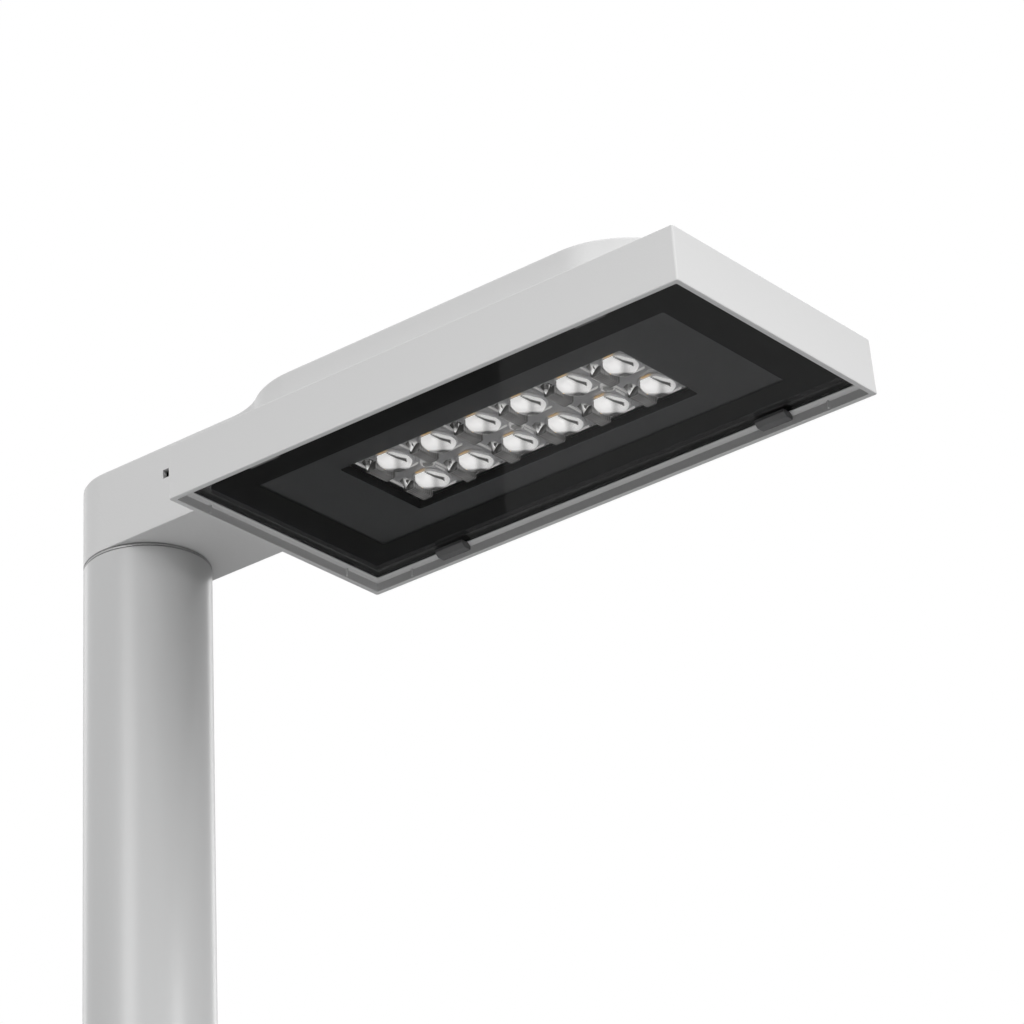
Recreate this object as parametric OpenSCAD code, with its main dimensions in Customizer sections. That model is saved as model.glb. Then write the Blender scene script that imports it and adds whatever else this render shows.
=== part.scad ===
// Street lamp post: a round steel pole on a base plate carries a flat LED head on a short arm.
// Millimetres, +Z up, +X from the pole towards the head.
// The origin is on the pole's axis, at the underside of the base plate.

/* [Pole] */
// Height of the pole's top above the ground face
pole_h = 3500; // [2500:50:4500]
// Outer diameter of the pole, which is also the width of the arm
pole_d = 102; // [95:1:125]
// Wall of the pole
pole_wall = 3; // [2:0.5:4]

/* [Base] */
// Side of the square base plate
base_w = 300; // [270:5:400]
// Thickness of the base plate
base_t = 15; // [10:1:25]
// Corner radius of the base plate
base_corner_r = 20; // [5:1:30]
// Distance between neighbouring anchor holes
anchor_pitch = 220; // [200:5:320]
// Diameter of the anchor holes
anchor_d = 22; // [16:1:28]
// Diameter of the cable entry in the base plate
cable_entry_d = 60; // [40:1:75]
// Length of each gusset along the plate
gusset_l = 62; // [40:1:80]
// Height of each gusset
gusset_h = 95; // [60:1:150]
// Thickness of each gusset
gusset_t = 8; // [5:1:12]

/* [Hatch] */
// Height of the hatch's lower edge above the ground face
hatch_z = 600; // [450:10:1000]
// Width of the hatch opening across the pole
hatch_w = 64; // [62:1:76]
// Height of the hatch opening
hatch_h = 280; // [270:5:400]
// Corner radius of the hatch opening
hatch_corner_r = 14; // [8:1:25]
// Gap between the door and the pole all round
hatch_gap = 0.8; // [0.5:0.1:1.5]
// Thickness of the door's gasket
hatch_gasket_t = 2.5; // [1.5:0.5:3]
// Distance of each lock screw from the end of the opening
lock_inset = 18; // [16:1:30]
// Diameter of the lock screws' shanks
lock_d = 8; // [6:1:8]
// Diameter of the lock screws' heads
lock_head_d = 13; // [11:1:14]

/* [Connection box] */
// Width of the connection box
box_w = 56; // [50:1:58]
// Depth of the connection box
box_d = 44; // [40:1:46]
// Height of the connection box
box_h = 180; // [160:5:210]
// Wall of the connection box
box_wall = 2; // [1.5:0.5:3]
// Diameter of each fuse
fuse_d = 10; // [8:1:12]
// Length of each fuse
fuse_l = 38; // [30:1:45]

/* [Spigot] */
// Height of the shadow-gap collar between the pole and the arm
collar_h = 3; // [2:0.5:8]
// Step from the pole's outside in to the spigot's stub
spigot_shoulder = 13; // [11:0.5:16]
// Wall of the stub
spigot_wall = 4; // [3:0.5:6]
// Height of the stub above the collar
spigot_up = 48; // [40:1:52]
// Length of the skirt that fits inside the pole
skirt_l = 80; // [50:5:150]

/* [Arm] */
// Height of the arm
arm_h = 68; // [66:1:85]
// Wall of the arm and of the gear housing
arm_wall = 4; // [3:0.5:5]
// Floor of the arm
arm_floor = 6; // [5:0.5:8]
// Width of the clamp bolt's access slot
access_w = 6.3; // [5:0.1:9]
// Height of the clamp bolt's access slot
access_h = 7.4; // [5:0.1:9]
// Clamp bolt's distance from the pole's axis
clamp_x = 69; // [68:1:74]
// Clamp bolt's height above the arm's underside
clamp_up = 43; // [38:1:44]

/* [Head] */
// Distance from the pole's axis to the back of the head
head_back = 136.5; // [130:0.5:220]
// Length of the head
head_l = 488; // [470:1:620]
// Width of the head
head_w = 238; // [225:1:300]
// Height of the head's tray
head_h = 46; // [44:1:60]
// How far the head's rim hangs below the arm's underside
head_drop = 28; // [20:1:34]
// How far the front face leans back over the tray's height
front_draft = 2.5; // [0:0.5:6]
// How far each side face leans in over the tray's height
side_draft = 1.1; // [0:0.1:4]
// Thickness of the rim's lip
rim_t = 4.5; // [3:0.5:8]
// Depth of the rim's plain inner wall
rim_depth = 7.3; // [5:0.1:9]
// Width of the sloped ledge between the rim and the glass
ledge_in = 3.5; // [2:0.5:6]
// Height of the sloped ledge
ledge_h = 2.5; // [1:0.5:4]
// Width of the seat behind the glass gasket
seat_w = 6; // [5.5:0.5:9]
// Thickness of the tray's top plate
plate_t = 4; // [3:0.5:6]
// Width of the gear housing above the tray
hump_w = 150; // [130:1:180]
// Distance from the gear housing's tip to the head's front
hump_setback = 63.5; // [30:0.5:120]
// Length of the curve where the arm widens to the gear housing
flare_l = 80; // [60:1:100]
// Radius of the hollow start of that curve
flare_r = 62; // [40:1:90]

/* [Glass] */
// Thickness of the glass
glass_t = 5; // [4:0.5:6]
// Gap between the glass and its pocket
glass_gap = 0.3; // [0.2:0.1:1]
// Thickness of the glass gasket
gasket_t = 2; // [1:0.5:3]
// Width of the glass gasket
gasket_w = 5; // [3:0.5:5.5]
// Length of each glass clip
clip_l = 27.5; // [20:0.5:40]
// Distance between the two clips of a side
clip_spread = 313; // [250:1:400]
// How far each clip reaches over the glass
clip_reach = 7; // [4:0.5:9]
// Depth of each clip's tongue in the rim's wall
clip_tongue = 2; // [1:0.5:2.5]

/* [Light engine] */
// Length of the window in the mask plate
window_l = 270; // [266:1:290]
// Width of the window in the mask plate
window_w = 92; // [88:1:98]
// Distance between neighbouring lenses, along and across
lens_pitch = 43.7; // [43.6:0.1:44.2]
// Diameter of each lens dome
lens_d = 29; // [24:0.5:34]
// How far each lens dome stands out of its plate
lens_rise = 6; // [3:0.1:6]
// Thickness of the mask plate
mask_t = 1.5; // [1:0.25:2]
// Thickness of the heat spreader
spreader_t = 6; // [4:1:8]

/* [Gear] */
// Length of the LED driver
driver_l = 170; // [140:5:180]
// Width of the LED driver
driver_w = 80; // [60:1:84]
// Height of the LED driver
driver_h = 36; // [28:1:38]

/* [Hidden] */
$fn = 96;
eps = 0.01;
// Radial running clearance of a turning fit
run_gap = 0.08;
// Clearance round a screw in a plain hole
screw_gap = 0.3;

pole_r = pole_d / 2;
bore_r = pole_r - pole_wall;
skin_r = pole_r + 5;

// Hatch and what is behind it; the hatch faces -Y
hatch_top = hatch_z + hatch_h;
lug_w = 20;
lug_t = 5;
lug_l = 34;
lug_gap = 2.5;
lug_face = bore_r - hatch_gasket_t - lug_gap;
lock_zs = [hatch_top - lock_inset, hatch_z + lock_inset];
cup_wall = 2.5;
cup_floor = 2;
cup_end = lug_face + 0.5;

// Connection box, on a rail at the back of the pole
rail_t = 4;
rail_w = 30;
rail_y = sqrt(pow(bore_r - 4, 2) - pow(box_w / 2, 2)) - 6;
rail_l = 250;
rail_z = hatch_z + (hatch_h - rail_l) / 2;
bracket_h = 12;
bracket_inset = 14;
box_z = hatch_z + (hatch_h - box_h) / 2;
box_back_d = 30;
box_gap = 0.2;
box_post_r = 4;
box_post_in = 5.5;
box_screw_d = 3.5;
box_screw_l = 12;
box_screw_head_d = 6.5;
box_screw_head_h = 2;
holder_size = [18, 26, 70];
holder_up = 95;
post_terminal_size = [44, 22, 30];
post_terminal_up = 22;
cable_y = rail_y - 22;
cable_r = 3.5;
wire_r = 1.3;
gland_l = 12;
gland_xs = [-11, 5];
gland_r = 8;
earth_z = rail_z + 8;
earth_d = 8;
earth_lug_t = 1.5;
earth_wire_at = [13, rail_y - 4];
clamp_block = [14, 10];

// Spigot and arm
collar_groove = 2;
collar_groove_h = 0.4;
stub_r = pole_r - spigot_shoulder;
arm_z = pole_h + collar_h;
arm_r = pole_r;
arm_top = arm_z + arm_h;
clamp_h = spigot_up + 2 - arm_floor;
clamp_r = arm_r - arm_wall - 1;
clamp_ear = 22;
clamp_ear_end = clamp_x + 11;
clamp_slit = 3;
clamp_bolt_d = 6;
clamp_screw_d = 5;
clamp_screw_angles = [90, 180, 270];
bulkhead_t = 10;
bulkhead_x = head_back - 4;
gear_x = bulkhead_x + bulkhead_t;

// Head; its heights are measured up from the rim's lower edge
rim_z = arm_z - head_drop;
tray_top = rim_z + head_h;
head_front = head_back + head_l;
head_x = head_back + head_l / 2;
head_r = head_w / 2;
ledge_z = rim_z + rim_depth;
glass_z = ledge_z + ledge_h;
pocket_in = rim_t + ledge_in;
seat_z = glass_z + glass_t + gasket_t;
cavity_in = pocket_in + seat_w;
ceiling_z = tray_top - plate_t;
nib_r = 2;
nib_inset = 41;

// Gear housing, which widens from the arm
hump_r = hump_w / 2;
flare_x = head_back + 3.5;
hump_x = flare_x + flare_l;
flare_angle = 2 * atan((hump_r - arm_r) / flare_l);
flare_r2 = flare_l / sin(flare_angle) - flare_r;
hump_c = head_front - hump_setback - hump_r;
boss_r = 6;
boss_h = 20;
boss_y = hump_r - arm_wall - boss_r + 1;
casting_screw_d = 6;
casting_screw_head_d = 10;
casting_screw_head_h = 4;
casting_screws_at = [
    for (s = [-1, 1])
        for (p = [
            [head_back + 30, arm_r - 3],
            [hump_x + 15, boss_y],
            [(hump_x + hump_c) / 2, boss_y],
            [hump_c - 15, boss_y],
        ])
            [p.x, s * p.y]
];
seal_w = 2;
seal_h = 1.5;
seal_in = 1;

// Light engine, hung from the tray's ceiling
mask_z = glass_z + glass_t + 1.2;
lens_z = mask_z + mask_t + 4.5;
lens_plate_t = 2;
lens_skirt = 3;
lens_wall = 2;
module_w = 2 * lens_pitch - 0.4;
board_z = lens_z + lens_plate_t + lens_skirt;
board_t = 1.6;
chip_w = 5;
chip_t = 0.8;
spreader_z = board_z + board_t;
spreader_l = 6 * lens_pitch + 38;
spreader_w = 2 * lens_pitch + 17;
spreader_top = spreader_z + spreader_t;
pillar_r = 5;
mask_screw_d = 3;
mask_screw_head_d = 7;
mask_inset = 1;
pillar_xs = [head_back + cavity_in + 12, head_x, head_front - cavity_in - 12];
pillar_y = head_r - cavity_in - 20;
lens_screw_d = 4;
lens_screw_head_d = 8;
lens_screw_head_h = 1.6;
spreader_screw_d = 4;
spreader_screw_head_d = 7.5;
spreader_screw_head_h = 2.5;

// Gear on the tray's top
gear_plate_t = 2;
gear_plate_x = hump_x - 42;
gear_plate_l = 290;
gear_plate_w = 96;
gear_z = tray_top + gear_plate_t;
driver_x = gear_plate_x + 92;
terminal_size = [26, 44, 20];
terminal_x = gear_plate_x + 8;
surge_size = [34, 26, 28];
surge_x = gear_plate_x + 44;
grommet_x = head_x + spreader_l / 2 + 13;
grommet_r = 8;
gland_up = 42;
lead_up = 14;
connector_size = [12, 16, 6];
connector_x = head_x + 3 * lens_pitch + 5;
gear_screw_d = 4;

// Route of the supply cable in the pole, from the box's gland to the stub
riser_route = [
    [0, cable_y, 820], [0, cable_y, 880], [1, 9, 1000], [2, 12, 1200], [-1, 16, 1400],
    [-4, 20, 1600], [0, 22, 1800], [4, 24, 2000], [0, 24, 2200], [-3, 24, 2400], [0, 21, 2600],
    [3, 18, 2800], [2, 13, 3000], [0, 8, 3200], [0, 2, 3350], [0, 0, 3450], [0, 0, 3521]
];
// Route of the same cable in the arm, from the stub to the gear's terminals
head_route = [
    [0, 0, 3521], [0, 0, 3525], [0, 0, 3531], [3, 0, 3543], [12, 0, 3554], [27, 0, 3560], [46, 0, 3561],
    [80, 0, 3561], [90, 0, 3557], [100, 0, 3549], [110, 0, 3545.4], [118, 0, 3545],
    [130, 0, 3545], [142, 0, 3545], [150, 0, 3545], [163, 0, 3539],
    [175, 0, 3533.5], [181, 0, 3533], [186, 0, 3533]
];

// ---- Shared shapes

// Upright ring or tube
module ring(r_out, r_in, h) {
    difference() {
        cylinder(r = r_out, h = h);
        translate([0, 0, -1]) cylinder(r = r_in, h = h + 2);
    }
}

// Rounded rectangle, centred
module rounded(w, h, r) {
    square([w - 2 * r, h], center = true);
    square([w, h - 2 * r], center = true);
    for (x = [-1, 1], y = [-1, 1])
        translate([x * (w / 2 - r), y * (h / 2 - r)]) circle(r = r);
}

// A bar along +Y from the origin
module along_y(r, l) {
    rotate([-90, 0, 0]) cylinder(r = r, h = l);
}

// A bar along +X from the origin
module along_x(r, l) {
    rotate([0, 90, 0]) cylinder(r = r, h = l);
}

// The head's outline, stepped in by an amount, between two heights
module head_block(inset, z0, z1) {
    translate([head_back + inset, -head_r + inset, z0])
        cube([head_l - 2 * inset, head_w - 2 * inset, z1 - z0]);
}

// A block with four sloping sides: in plan it's the head's outline stepped in by in0 at the
// bottom and by in1 at the top
module sloped_block(in0, in1, z0, z1, in1_back, in1_side) {
    intersection() {
        translate([0, head_r, 0]) rotate([90, 0, 0]) linear_extrude(head_w)
            polygon([
                [head_back + in0, z0], [head_front - in0, z0],
                [head_front - in1, z1], [head_back + in1_back, z1]
            ]);
        translate([head_back, 0, 0]) rotate([90, 0, 90]) linear_extrude(head_l)
            polygon([
                [-head_r + in0, z0], [head_r - in0, z0],
                [head_r - in1_side, z1], [-head_r + in1_side, z1]
            ]);
    }
}

// Points of an arc, from one angle to another
function arc(centre, r, a0, a1, n = 10) =
    [for (i = [0 : n]) centre + r * [cos(a0 + (a1 - a0) * i / n), sin(a0 + (a1 - a0) * i / n)]];

// One side of the plan between the two round ends: straight, a hollow arc, a bulging arc, straight
function spine_side(inset) = concat(
    [[0, arm_r - inset]],
    arc([flare_x, arm_r + flare_r], flare_r + inset, -90, flare_angle - 90),
    arc([hump_x, hump_r - flare_r2], flare_r2 - inset, flare_angle + 90, 90),
    [[hump_c, hump_r - inset]]
);

// Plan of the arm and gear housing, stepped in by an amount
module spine_plan(inset) {
    side = spine_side(inset);
    circle(r = arm_r - inset);
    polygon(concat(side, [for (i = [len(side) - 1 : -1 : 0]) [side[i].x, -side[i].y]]));
    translate([hump_c, 0]) circle(r = hump_r - inset);
}

// The part of the plan that lies beyond a given X
module spine_plan_from(inset, x0) {
    intersection() {
        spine_plan(inset);
        translate([x0, -head_w]) square([head_l + head_back, 2 * head_w]);
    }
}

// The same part as one outline, whose round end is a chain of short straights
module seal_plan_from(inset, x0) {
    side = spine_side(inset);
    end = arc([hump_c, 0], hump_r - inset, 85, -85, 34);
    intersection() {
        polygon(concat(side, end, [for (i = [len(side) - 1 : -1 : 0]) [side[i].x, -side[i].y]]));
        translate([x0, -head_w]) square([head_l + head_back, 2 * head_w]);
    }
}

// A pan-head screw that points up, with the underside of its head at the origin
module screw_up(shank_d, shank_l, head_d, head_h) {
    translate([0, 0, -head_h]) cylinder(d = head_d, h = head_h);
    cylinder(d = shank_d, h = shank_l);
}

// Points of a smooth curve through a route
function curve_point(a, b, c, d, t) =
    0.5 * (2 * b + (c - a) * t + (2 * a - 5 * b + 4 * c - d) * t * t
    + (3 * b - a - 3 * c + d) * t * t * t);
function smooth(p, n) = [
    for (i = [0 : len(p) - 2])
        for (k = [0 : n - 1])
            curve_point(p[max(i - 1, 0)], p[i], p[i + 1], p[min(i + 2, len(p) - 1)], k / n),
    p[len(p) - 1]
];
function unit(v) = v / norm(v);
function tangent(p, i) = unit(p[min(i + 1, len(p) - 1)] - p[max(i - 1, 0)]);

// A round tube swept along a path; side is a direction that the path never takes
module swept(path, r, side, sides = 10) {
    n = len(path);
    points = [
        for (i = [0 : n - 1])
            let (t = tangent(path, i), u = unit(cross(side, t)), v = cross(t, u))
                for (k = [0 : sides - 1])
                    path[i] + r * (cos(360 * k / sides) * u + sin(360 * k / sides) * v)
    ];
    walls = [
        for (i = [0 : n - 2])
            for (k = [0 : sides - 1])
                let (a = i * sides + k, b = i * sides + (k + 1) % sides)
                    [a, a + sides, b + sides, b]
    ];
    first = [for (k = [0 : sides - 1]) k];
    last = [for (k = [sides - 1 : -1 : 0]) (n - 1) * sides + k];
    polyhedron(points = points, faces = concat(walls, [first], [last]), convexity = 8);
}

// ---- Post

module base_plate() {
    color("dimgray") difference() {
        linear_extrude(base_t) rounded(base_w, base_w, base_corner_r);
        for (x = [-1, 1], y = [-1, 1])
            translate([x * anchor_pitch / 2, y * anchor_pitch / 2, -1])
                cylinder(d = anchor_d, h = base_t + 2);
        translate([0, 0, -1]) cylinder(d = cable_entry_d, h = base_t + 2);
    }
}

module base_gussets() {
    color("silver") difference() {
        for (a = [0, 90, 180, 270])
            rotate([90, 0, a]) translate([0, base_t, -gusset_t / 2]) linear_extrude(gusset_t)
                polygon([
                    [pole_r - 3, 0], [pole_r + gusset_l, 0], [pole_r + gusset_l, 12],
                    [pole_r + 10, gusset_h], [pole_r - 3, gusset_h]
                ]);
        translate([0, 0, base_t - 1]) cylinder(r = pole_r, h = gusset_h + 2);
    }
}

// Outline of the hatch opening, grown or shrunk, standing in the XZ plane and pushed along -Y
module hatch_cut(shrink, depth) {
    translate([0, 0, hatch_z + hatch_h / 2]) rotate([90, 0, 0]) linear_extrude(depth)
        rounded(hatch_w - 2 * shrink, hatch_h - 2 * shrink, hatch_corner_r - shrink);
}

module pole_tube() {
    color("silver") difference() {
        translate([0, 0, base_t]) ring(pole_r, bore_r, pole_h - base_t);
        hatch_cut(0, skin_r);
    }
}

module spigot() {
    collar_r = pole_r - 0.4;
    groove_r = collar_r - collar_groove;
    color("gray") rotate_extrude() polygon([
        [bore_r - 4, pole_h - skirt_l], [bore_r, pole_h - skirt_l],
        [bore_r, pole_h], [groove_r, pole_h],
        [groove_r, pole_h + collar_groove_h], [collar_r, pole_h + collar_groove_h],
        [collar_r, arm_z - collar_groove_h], [groove_r, arm_z - collar_groove_h],
        [groove_r, arm_z], [stub_r, arm_z],
        [stub_r, arm_z + spigot_up], [stub_r - spigot_wall, arm_z + spigot_up],
        [stub_r - spigot_wall, pole_h - 6], [bore_r - 4, pole_h - 6]
    ]);
}

// Lugs inside the pole that the hatch's lock screws go into
module hatch_lugs() {
    color("silver") for (i = [0, 1]) {
        z = lock_zs[i];
        up = i == 0 ? 1 : -1;
        low = i == 0 ? z - 8 : z + 8 - lug_l;
        seat_low = i == 0 ? hatch_top + 1 : hatch_z - 1 - (lug_l - 8 - lock_inset - 1);
        difference() {
            union() {
                translate([-lug_w / 2, -lug_face, low]) cube([lug_w, lug_t, lug_l]);
                intersection() {
                    translate([-lug_w / 2, -bore_r - 1, seat_low])
                        cube([lug_w, bore_r + 1 - lug_face + lug_t, lug_l - 8 - lock_inset - 1]);
                    translate([0, 0, low - 1]) cylinder(r = bore_r, h = lug_l + 2);
                }
            }
            translate([0, -bore_r, z]) along_y(lock_d / 2 + run_gap, bore_r);
        }
    }
}

module equipment_rail() {
    color("silver") difference() {
        translate([-rail_w / 2, rail_y, rail_z]) cube([rail_w, rail_t, rail_l]);
        translate([0, rail_y - 1, earth_z]) along_y(earth_d / 2, rail_t + 2);
    }
}

module rail_brackets() {
    color("silver") intersection() {
        for (z = [rail_z + bracket_inset, rail_z + rail_l - bracket_inset - bracket_h])
            translate([-rail_w / 2, rail_y + rail_t, z]) cube([rail_w, bore_r, bracket_h]);
        translate([0, 0, rail_z]) cylinder(r = bore_r, h = rail_l);
    }
}

// The four corner posts of the connection box, from its parting plane backwards
module at_box_corners() {
    for (x = [-1, 1], z = [box_z + box_post_in, box_z + box_h - box_post_in])
        translate([x * (box_w / 2 - box_post_in), rail_y - box_back_d, z]) children();
}

module fuse_box_base() {
    color("black") difference() {
        translate([-box_w / 2, rail_y - box_back_d, box_z]) cube([box_w, box_back_d, box_h]);
        difference() {
            translate([-box_w / 2 + box_wall, rail_y - box_back_d - 1, box_z + box_wall])
                cube([box_w - 2 * box_wall, box_back_d - box_wall + 1, box_h - 2 * box_wall]);
            at_box_corners() along_y(box_post_r, box_back_d);
        }
        at_box_corners() along_y(box_screw_d / 2, box_screw_l);
        for (x = gland_xs)
            translate([x, cable_y, box_z - 1]) cylinder(r = gland_r - 3, h = box_wall + 2);
        translate([0, cable_y, box_z + box_h - box_wall - 1])
            cylinder(r = gland_r - 3, h = box_wall + 2);
        translate([earth_wire_at.x, earth_wire_at.y, box_z - 1])
            cylinder(r = wire_r + 0.4, h = box_wall + 2);
    }
}

module fuse_box_cover() {
    front_y = rail_y - box_d;
    color([0.75, 0.78, 0.8, 0.5]) difference() {
        translate([-box_w / 2, front_y, box_z]) cube([box_w, box_d - box_back_d, box_h]);
        difference() {
            translate([-box_w / 2 + box_wall, front_y + box_wall, box_z + box_wall])
                cube([box_w - 2 * box_wall, box_d - box_back_d, box_h - 2 * box_wall]);
            at_box_corners() mirror([0, 1, 0]) along_y(box_post_r, box_d);
        }
        at_box_corners() translate([0, -box_d, 0]) along_y(box_screw_d / 2 + screw_gap / 2, 2 * box_d);
        at_box_corners() translate([0, -box_d + box_back_d - 1, 0])
            along_y(box_screw_head_d / 2 + screw_gap, box_screw_head_h + 1);
    }
}

module fuse_box_screws() {
    color("silver") at_box_corners() {
        translate([0, box_back_d - box_d, 0]) along_y(box_screw_head_d / 2, box_screw_head_h);
        translate([0, box_back_d - box_d, 0]) along_y(box_screw_d / 2, box_d - box_back_d + box_screw_l);
    }
}

module at_fuse_holders() {
    for (x = [-1, 1])
        translate([x * (holder_size.x / 2 + 1), rail_y - box_wall - holder_size.y / 2, box_z + holder_up])
            children();
}

module fuse_holders() {
    color("dimgray") at_fuse_holders() difference() {
        translate([-holder_size.x / 2, -holder_size.y / 2, 0]) cube(holder_size);
        translate([0, 0, (holder_size.z - fuse_l) / 2]) cylinder(d = fuse_d, h = fuse_l);
    }
}

module fuses() {
    color("white") at_fuse_holders() translate([0, 0, (holder_size.z - fuse_l) / 2])
        cylinder(d = fuse_d, h = fuse_l);
}

module post_terminal() {
    color("beige") difference() {
        translate([
            -post_terminal_size.x / 2, rail_y - box_wall - post_terminal_size.y, box_z + post_terminal_up
        ]) cube(post_terminal_size);
        for (x = [-16, -8, 0, 8, 16])
            translate([x, rail_y - box_wall - post_terminal_size.y + 6, box_z + post_terminal_up - 1])
                cylinder(r = 2.4, h = 9);
    }
}

// A cable gland that points down, with its shoulder against the wall at the origin
module gland(wall, r, l) {
    translate([0, 0, -l]) cylinder(r = r - 1.5, h = l);
    translate([0, 0, -l * 0.55]) cylinder(r = r, h = l * 0.55, $fn = 6);
    cylinder(r = r - 3, h = wall);
    translate([0, 0, wall]) cylinder(r = r - 1, h = 3);
}

module post_glands() {
    color("dimgray") {
        for (x = gland_xs)
            translate([x, cable_y, box_z]) gland(box_wall, gland_r, gland_l);
        difference() {
            translate([0, cable_y, box_z + box_h]) mirror([0, 0, 1]) gland(box_wall, gland_r, gland_l);
            translate([0, cable_y, box_z + box_h - 10]) cylinder(r = cable_r + 0.15, h = gland_l + 20);
        }
    }
}

module cable_clamp() {
    clamp_front = cable_y - cable_r - 3;
    color("black") difference() {
        translate([-clamp_block.x / 2, clamp_front, rail_z + rail_l - clamp_block.y - 4])
            cube([clamp_block.x, rail_y - clamp_front, clamp_block.y]);
        translate([0, cable_y, rail_z]) cylinder(r = cable_r + 0.15, h = rail_l + 10);
    }
}

module earth_stud() {
    color("silver") translate([0, rail_y - 14, earth_z]) along_y(earth_d / 2, 14 + rail_t);
}

module earth_nut() {
    color("silver") translate([0, rail_y - earth_lug_t - 6.5, earth_z]) difference() {
        rotate([-90, 0, 0]) cylinder(r = 7.5, h = 6.5, $fn = 6);
        translate([0, -1, 0]) along_y(earth_d / 2, 9);
    }
}

module earth_lug() {
    color("goldenrod") difference() {
        union() {
            translate([0, rail_y - earth_lug_t, earth_z]) along_y(8, earth_lug_t);
            translate([0, rail_y - earth_lug_t, earth_z]) cube([earth_wire_at.x + 2, earth_lug_t, 14]);
            translate([earth_wire_at.x, earth_wire_at.y, earth_z + 3]) cylinder(r = 3, h = 11);
        }
        translate([0, rail_y - earth_lug_t - 1, earth_z]) along_y(earth_d / 2, earth_lug_t + 2);
        translate([earth_wire_at.x, earth_wire_at.y, earth_z + 8]) cylinder(r = wire_r, h = 9);
    }
}

module earth_wire() {
    color("yellowgreen") translate([earth_wire_at.x, earth_wire_at.y, earth_z + 8])
        cylinder(r = wire_r, h = box_z + 8 - earth_z - 8);
}

module riser_cable() {
    color("black") swept(riser_route, cable_r, [0, 1, 0]);
}

// ---- Hatch

module hatch_door() {
    cup_r = lock_head_d / 2 + screw_gap + cup_wall;
    color("silver") difference() {
        union() {
            intersection() {
                translate([0, 0, hatch_z]) ring(pole_r, bore_r, hatch_h);
                hatch_cut(hatch_gap, skin_r);
            }
            intersection() {
                for (z = lock_zs)
                    translate([0, -pole_r, z]) along_y(cup_r, pole_r - cup_end);
                translate([0, 0, hatch_z]) cylinder(r = pole_r - 1, h = hatch_h);
            }
        }
        for (z = lock_zs) {
            translate([0, -pole_r - 1, z])
                along_y(lock_head_d / 2 + screw_gap, pole_r - cup_end - cup_floor + 1);
            translate([0, -pole_r, z]) along_y(lock_d / 2 + run_gap, pole_r);
        }
    }
}

module hatch_gasket() {
    color("black") intersection() {
        translate([0, 0, hatch_z]) ring(bore_r, bore_r - hatch_gasket_t, hatch_h);
        difference() {
            hatch_cut(hatch_gap + 0.7, skin_r);
            hatch_cut(hatch_gap + 6.5, skin_r + 1);
        }
    }
}

module hatch_screw(z) {
    head_y = pole_r - 0.9;
    head_l = head_y - cup_end - cup_floor;
    color("silver") translate([0, -head_y, z]) difference() {
        union() {
            along_y(lock_head_d / 2, head_l);
            along_y(lock_d / 2, head_y - lug_face + lug_t + 4);
        }
        translate([0, -1, 0]) rotate([-90, 0, 0]) cylinder(r = lock_head_d / 2 - 1.6, h = 3.4, $fn = 3);
    }
}

module hatch_screw_upper() {
    hatch_screw(lock_zs[0]);
}

module hatch_screw_lower() {
    hatch_screw(lock_zs[1]);
}

// ---- Arm and head housings

module arm_casting() {
    color("gainsboro") difference() {
        union() {
            difference() {
                translate([0, 0, arm_z]) linear_extrude(arm_h) spine_plan(0);
                translate([head_back, -head_w, arm_z - 1])
                    cube([head_l, 2 * head_w, tray_top - arm_z + 1]);
                translate([0, 0, arm_z + arm_floor]) linear_extrude(arm_h - arm_wall - arm_floor)
                    difference() {
                        spine_plan(arm_wall);
                        translate([bulkhead_x, -head_w]) square([2 * head_l, 2 * head_w]);
                    }
                translate([0, 0, tray_top - 1]) linear_extrude(arm_top - arm_wall - tray_top + 1)
                    spine_plan_from(arm_wall, gear_x);
            }
            intersection() {
                for (p = casting_screws_at)
                    translate([p.x, p.y, tray_top]) cylinder(r = boss_r, h = boss_h);
                translate([0, 0, tray_top]) linear_extrude(boss_h) spine_plan(1);
            }
        }
        translate([0, 0, arm_z - 1]) cylinder(r = stub_r + screw_gap, h = arm_floor + 2);
        translate([clamp_x - access_w / 2, -arm_r - 1, arm_z + clamp_up - access_h / 2])
            cube([access_w, arm_wall + 2, access_h]);
        for (a = clamp_screw_angles)
            rotate([0, 0, a]) translate([(stub_r + clamp_r) / 2, 0, arm_z + 2])
                cylinder(d = clamp_screw_d, h = arm_floor);
        for (p = casting_screws_at)
            translate([p.x, p.y, tray_top - 1]) cylinder(d = casting_screw_d, h = boss_h - 2);
        translate([bulkhead_x - 1, 0, arm_z + gland_up]) along_x(gland_r, bulkhead_t + 2);
        translate([bulkhead_x - 1, 28, arm_z + gland_up]) along_x(6, bulkhead_t + 2);
        casting_seal_shape();
    }
}

module casting_seal_shape() {
    translate([0, 0, tray_top]) linear_extrude(seal_h) difference() {
        seal_plan_from(seal_in, head_back + seal_in);
        seal_plan_from(seal_in + seal_w, head_back + seal_in + seal_w);
    }
}

module casting_seal() {
    color("black") casting_seal_shape();
}

module casting_screws() {
    color("silver") for (p = casting_screws_at)
        translate([p.x, p.y, ceiling_z])
            screw_up(casting_screw_d, plate_t + boss_h - 4, casting_screw_head_d, casting_screw_head_h);
}

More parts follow.
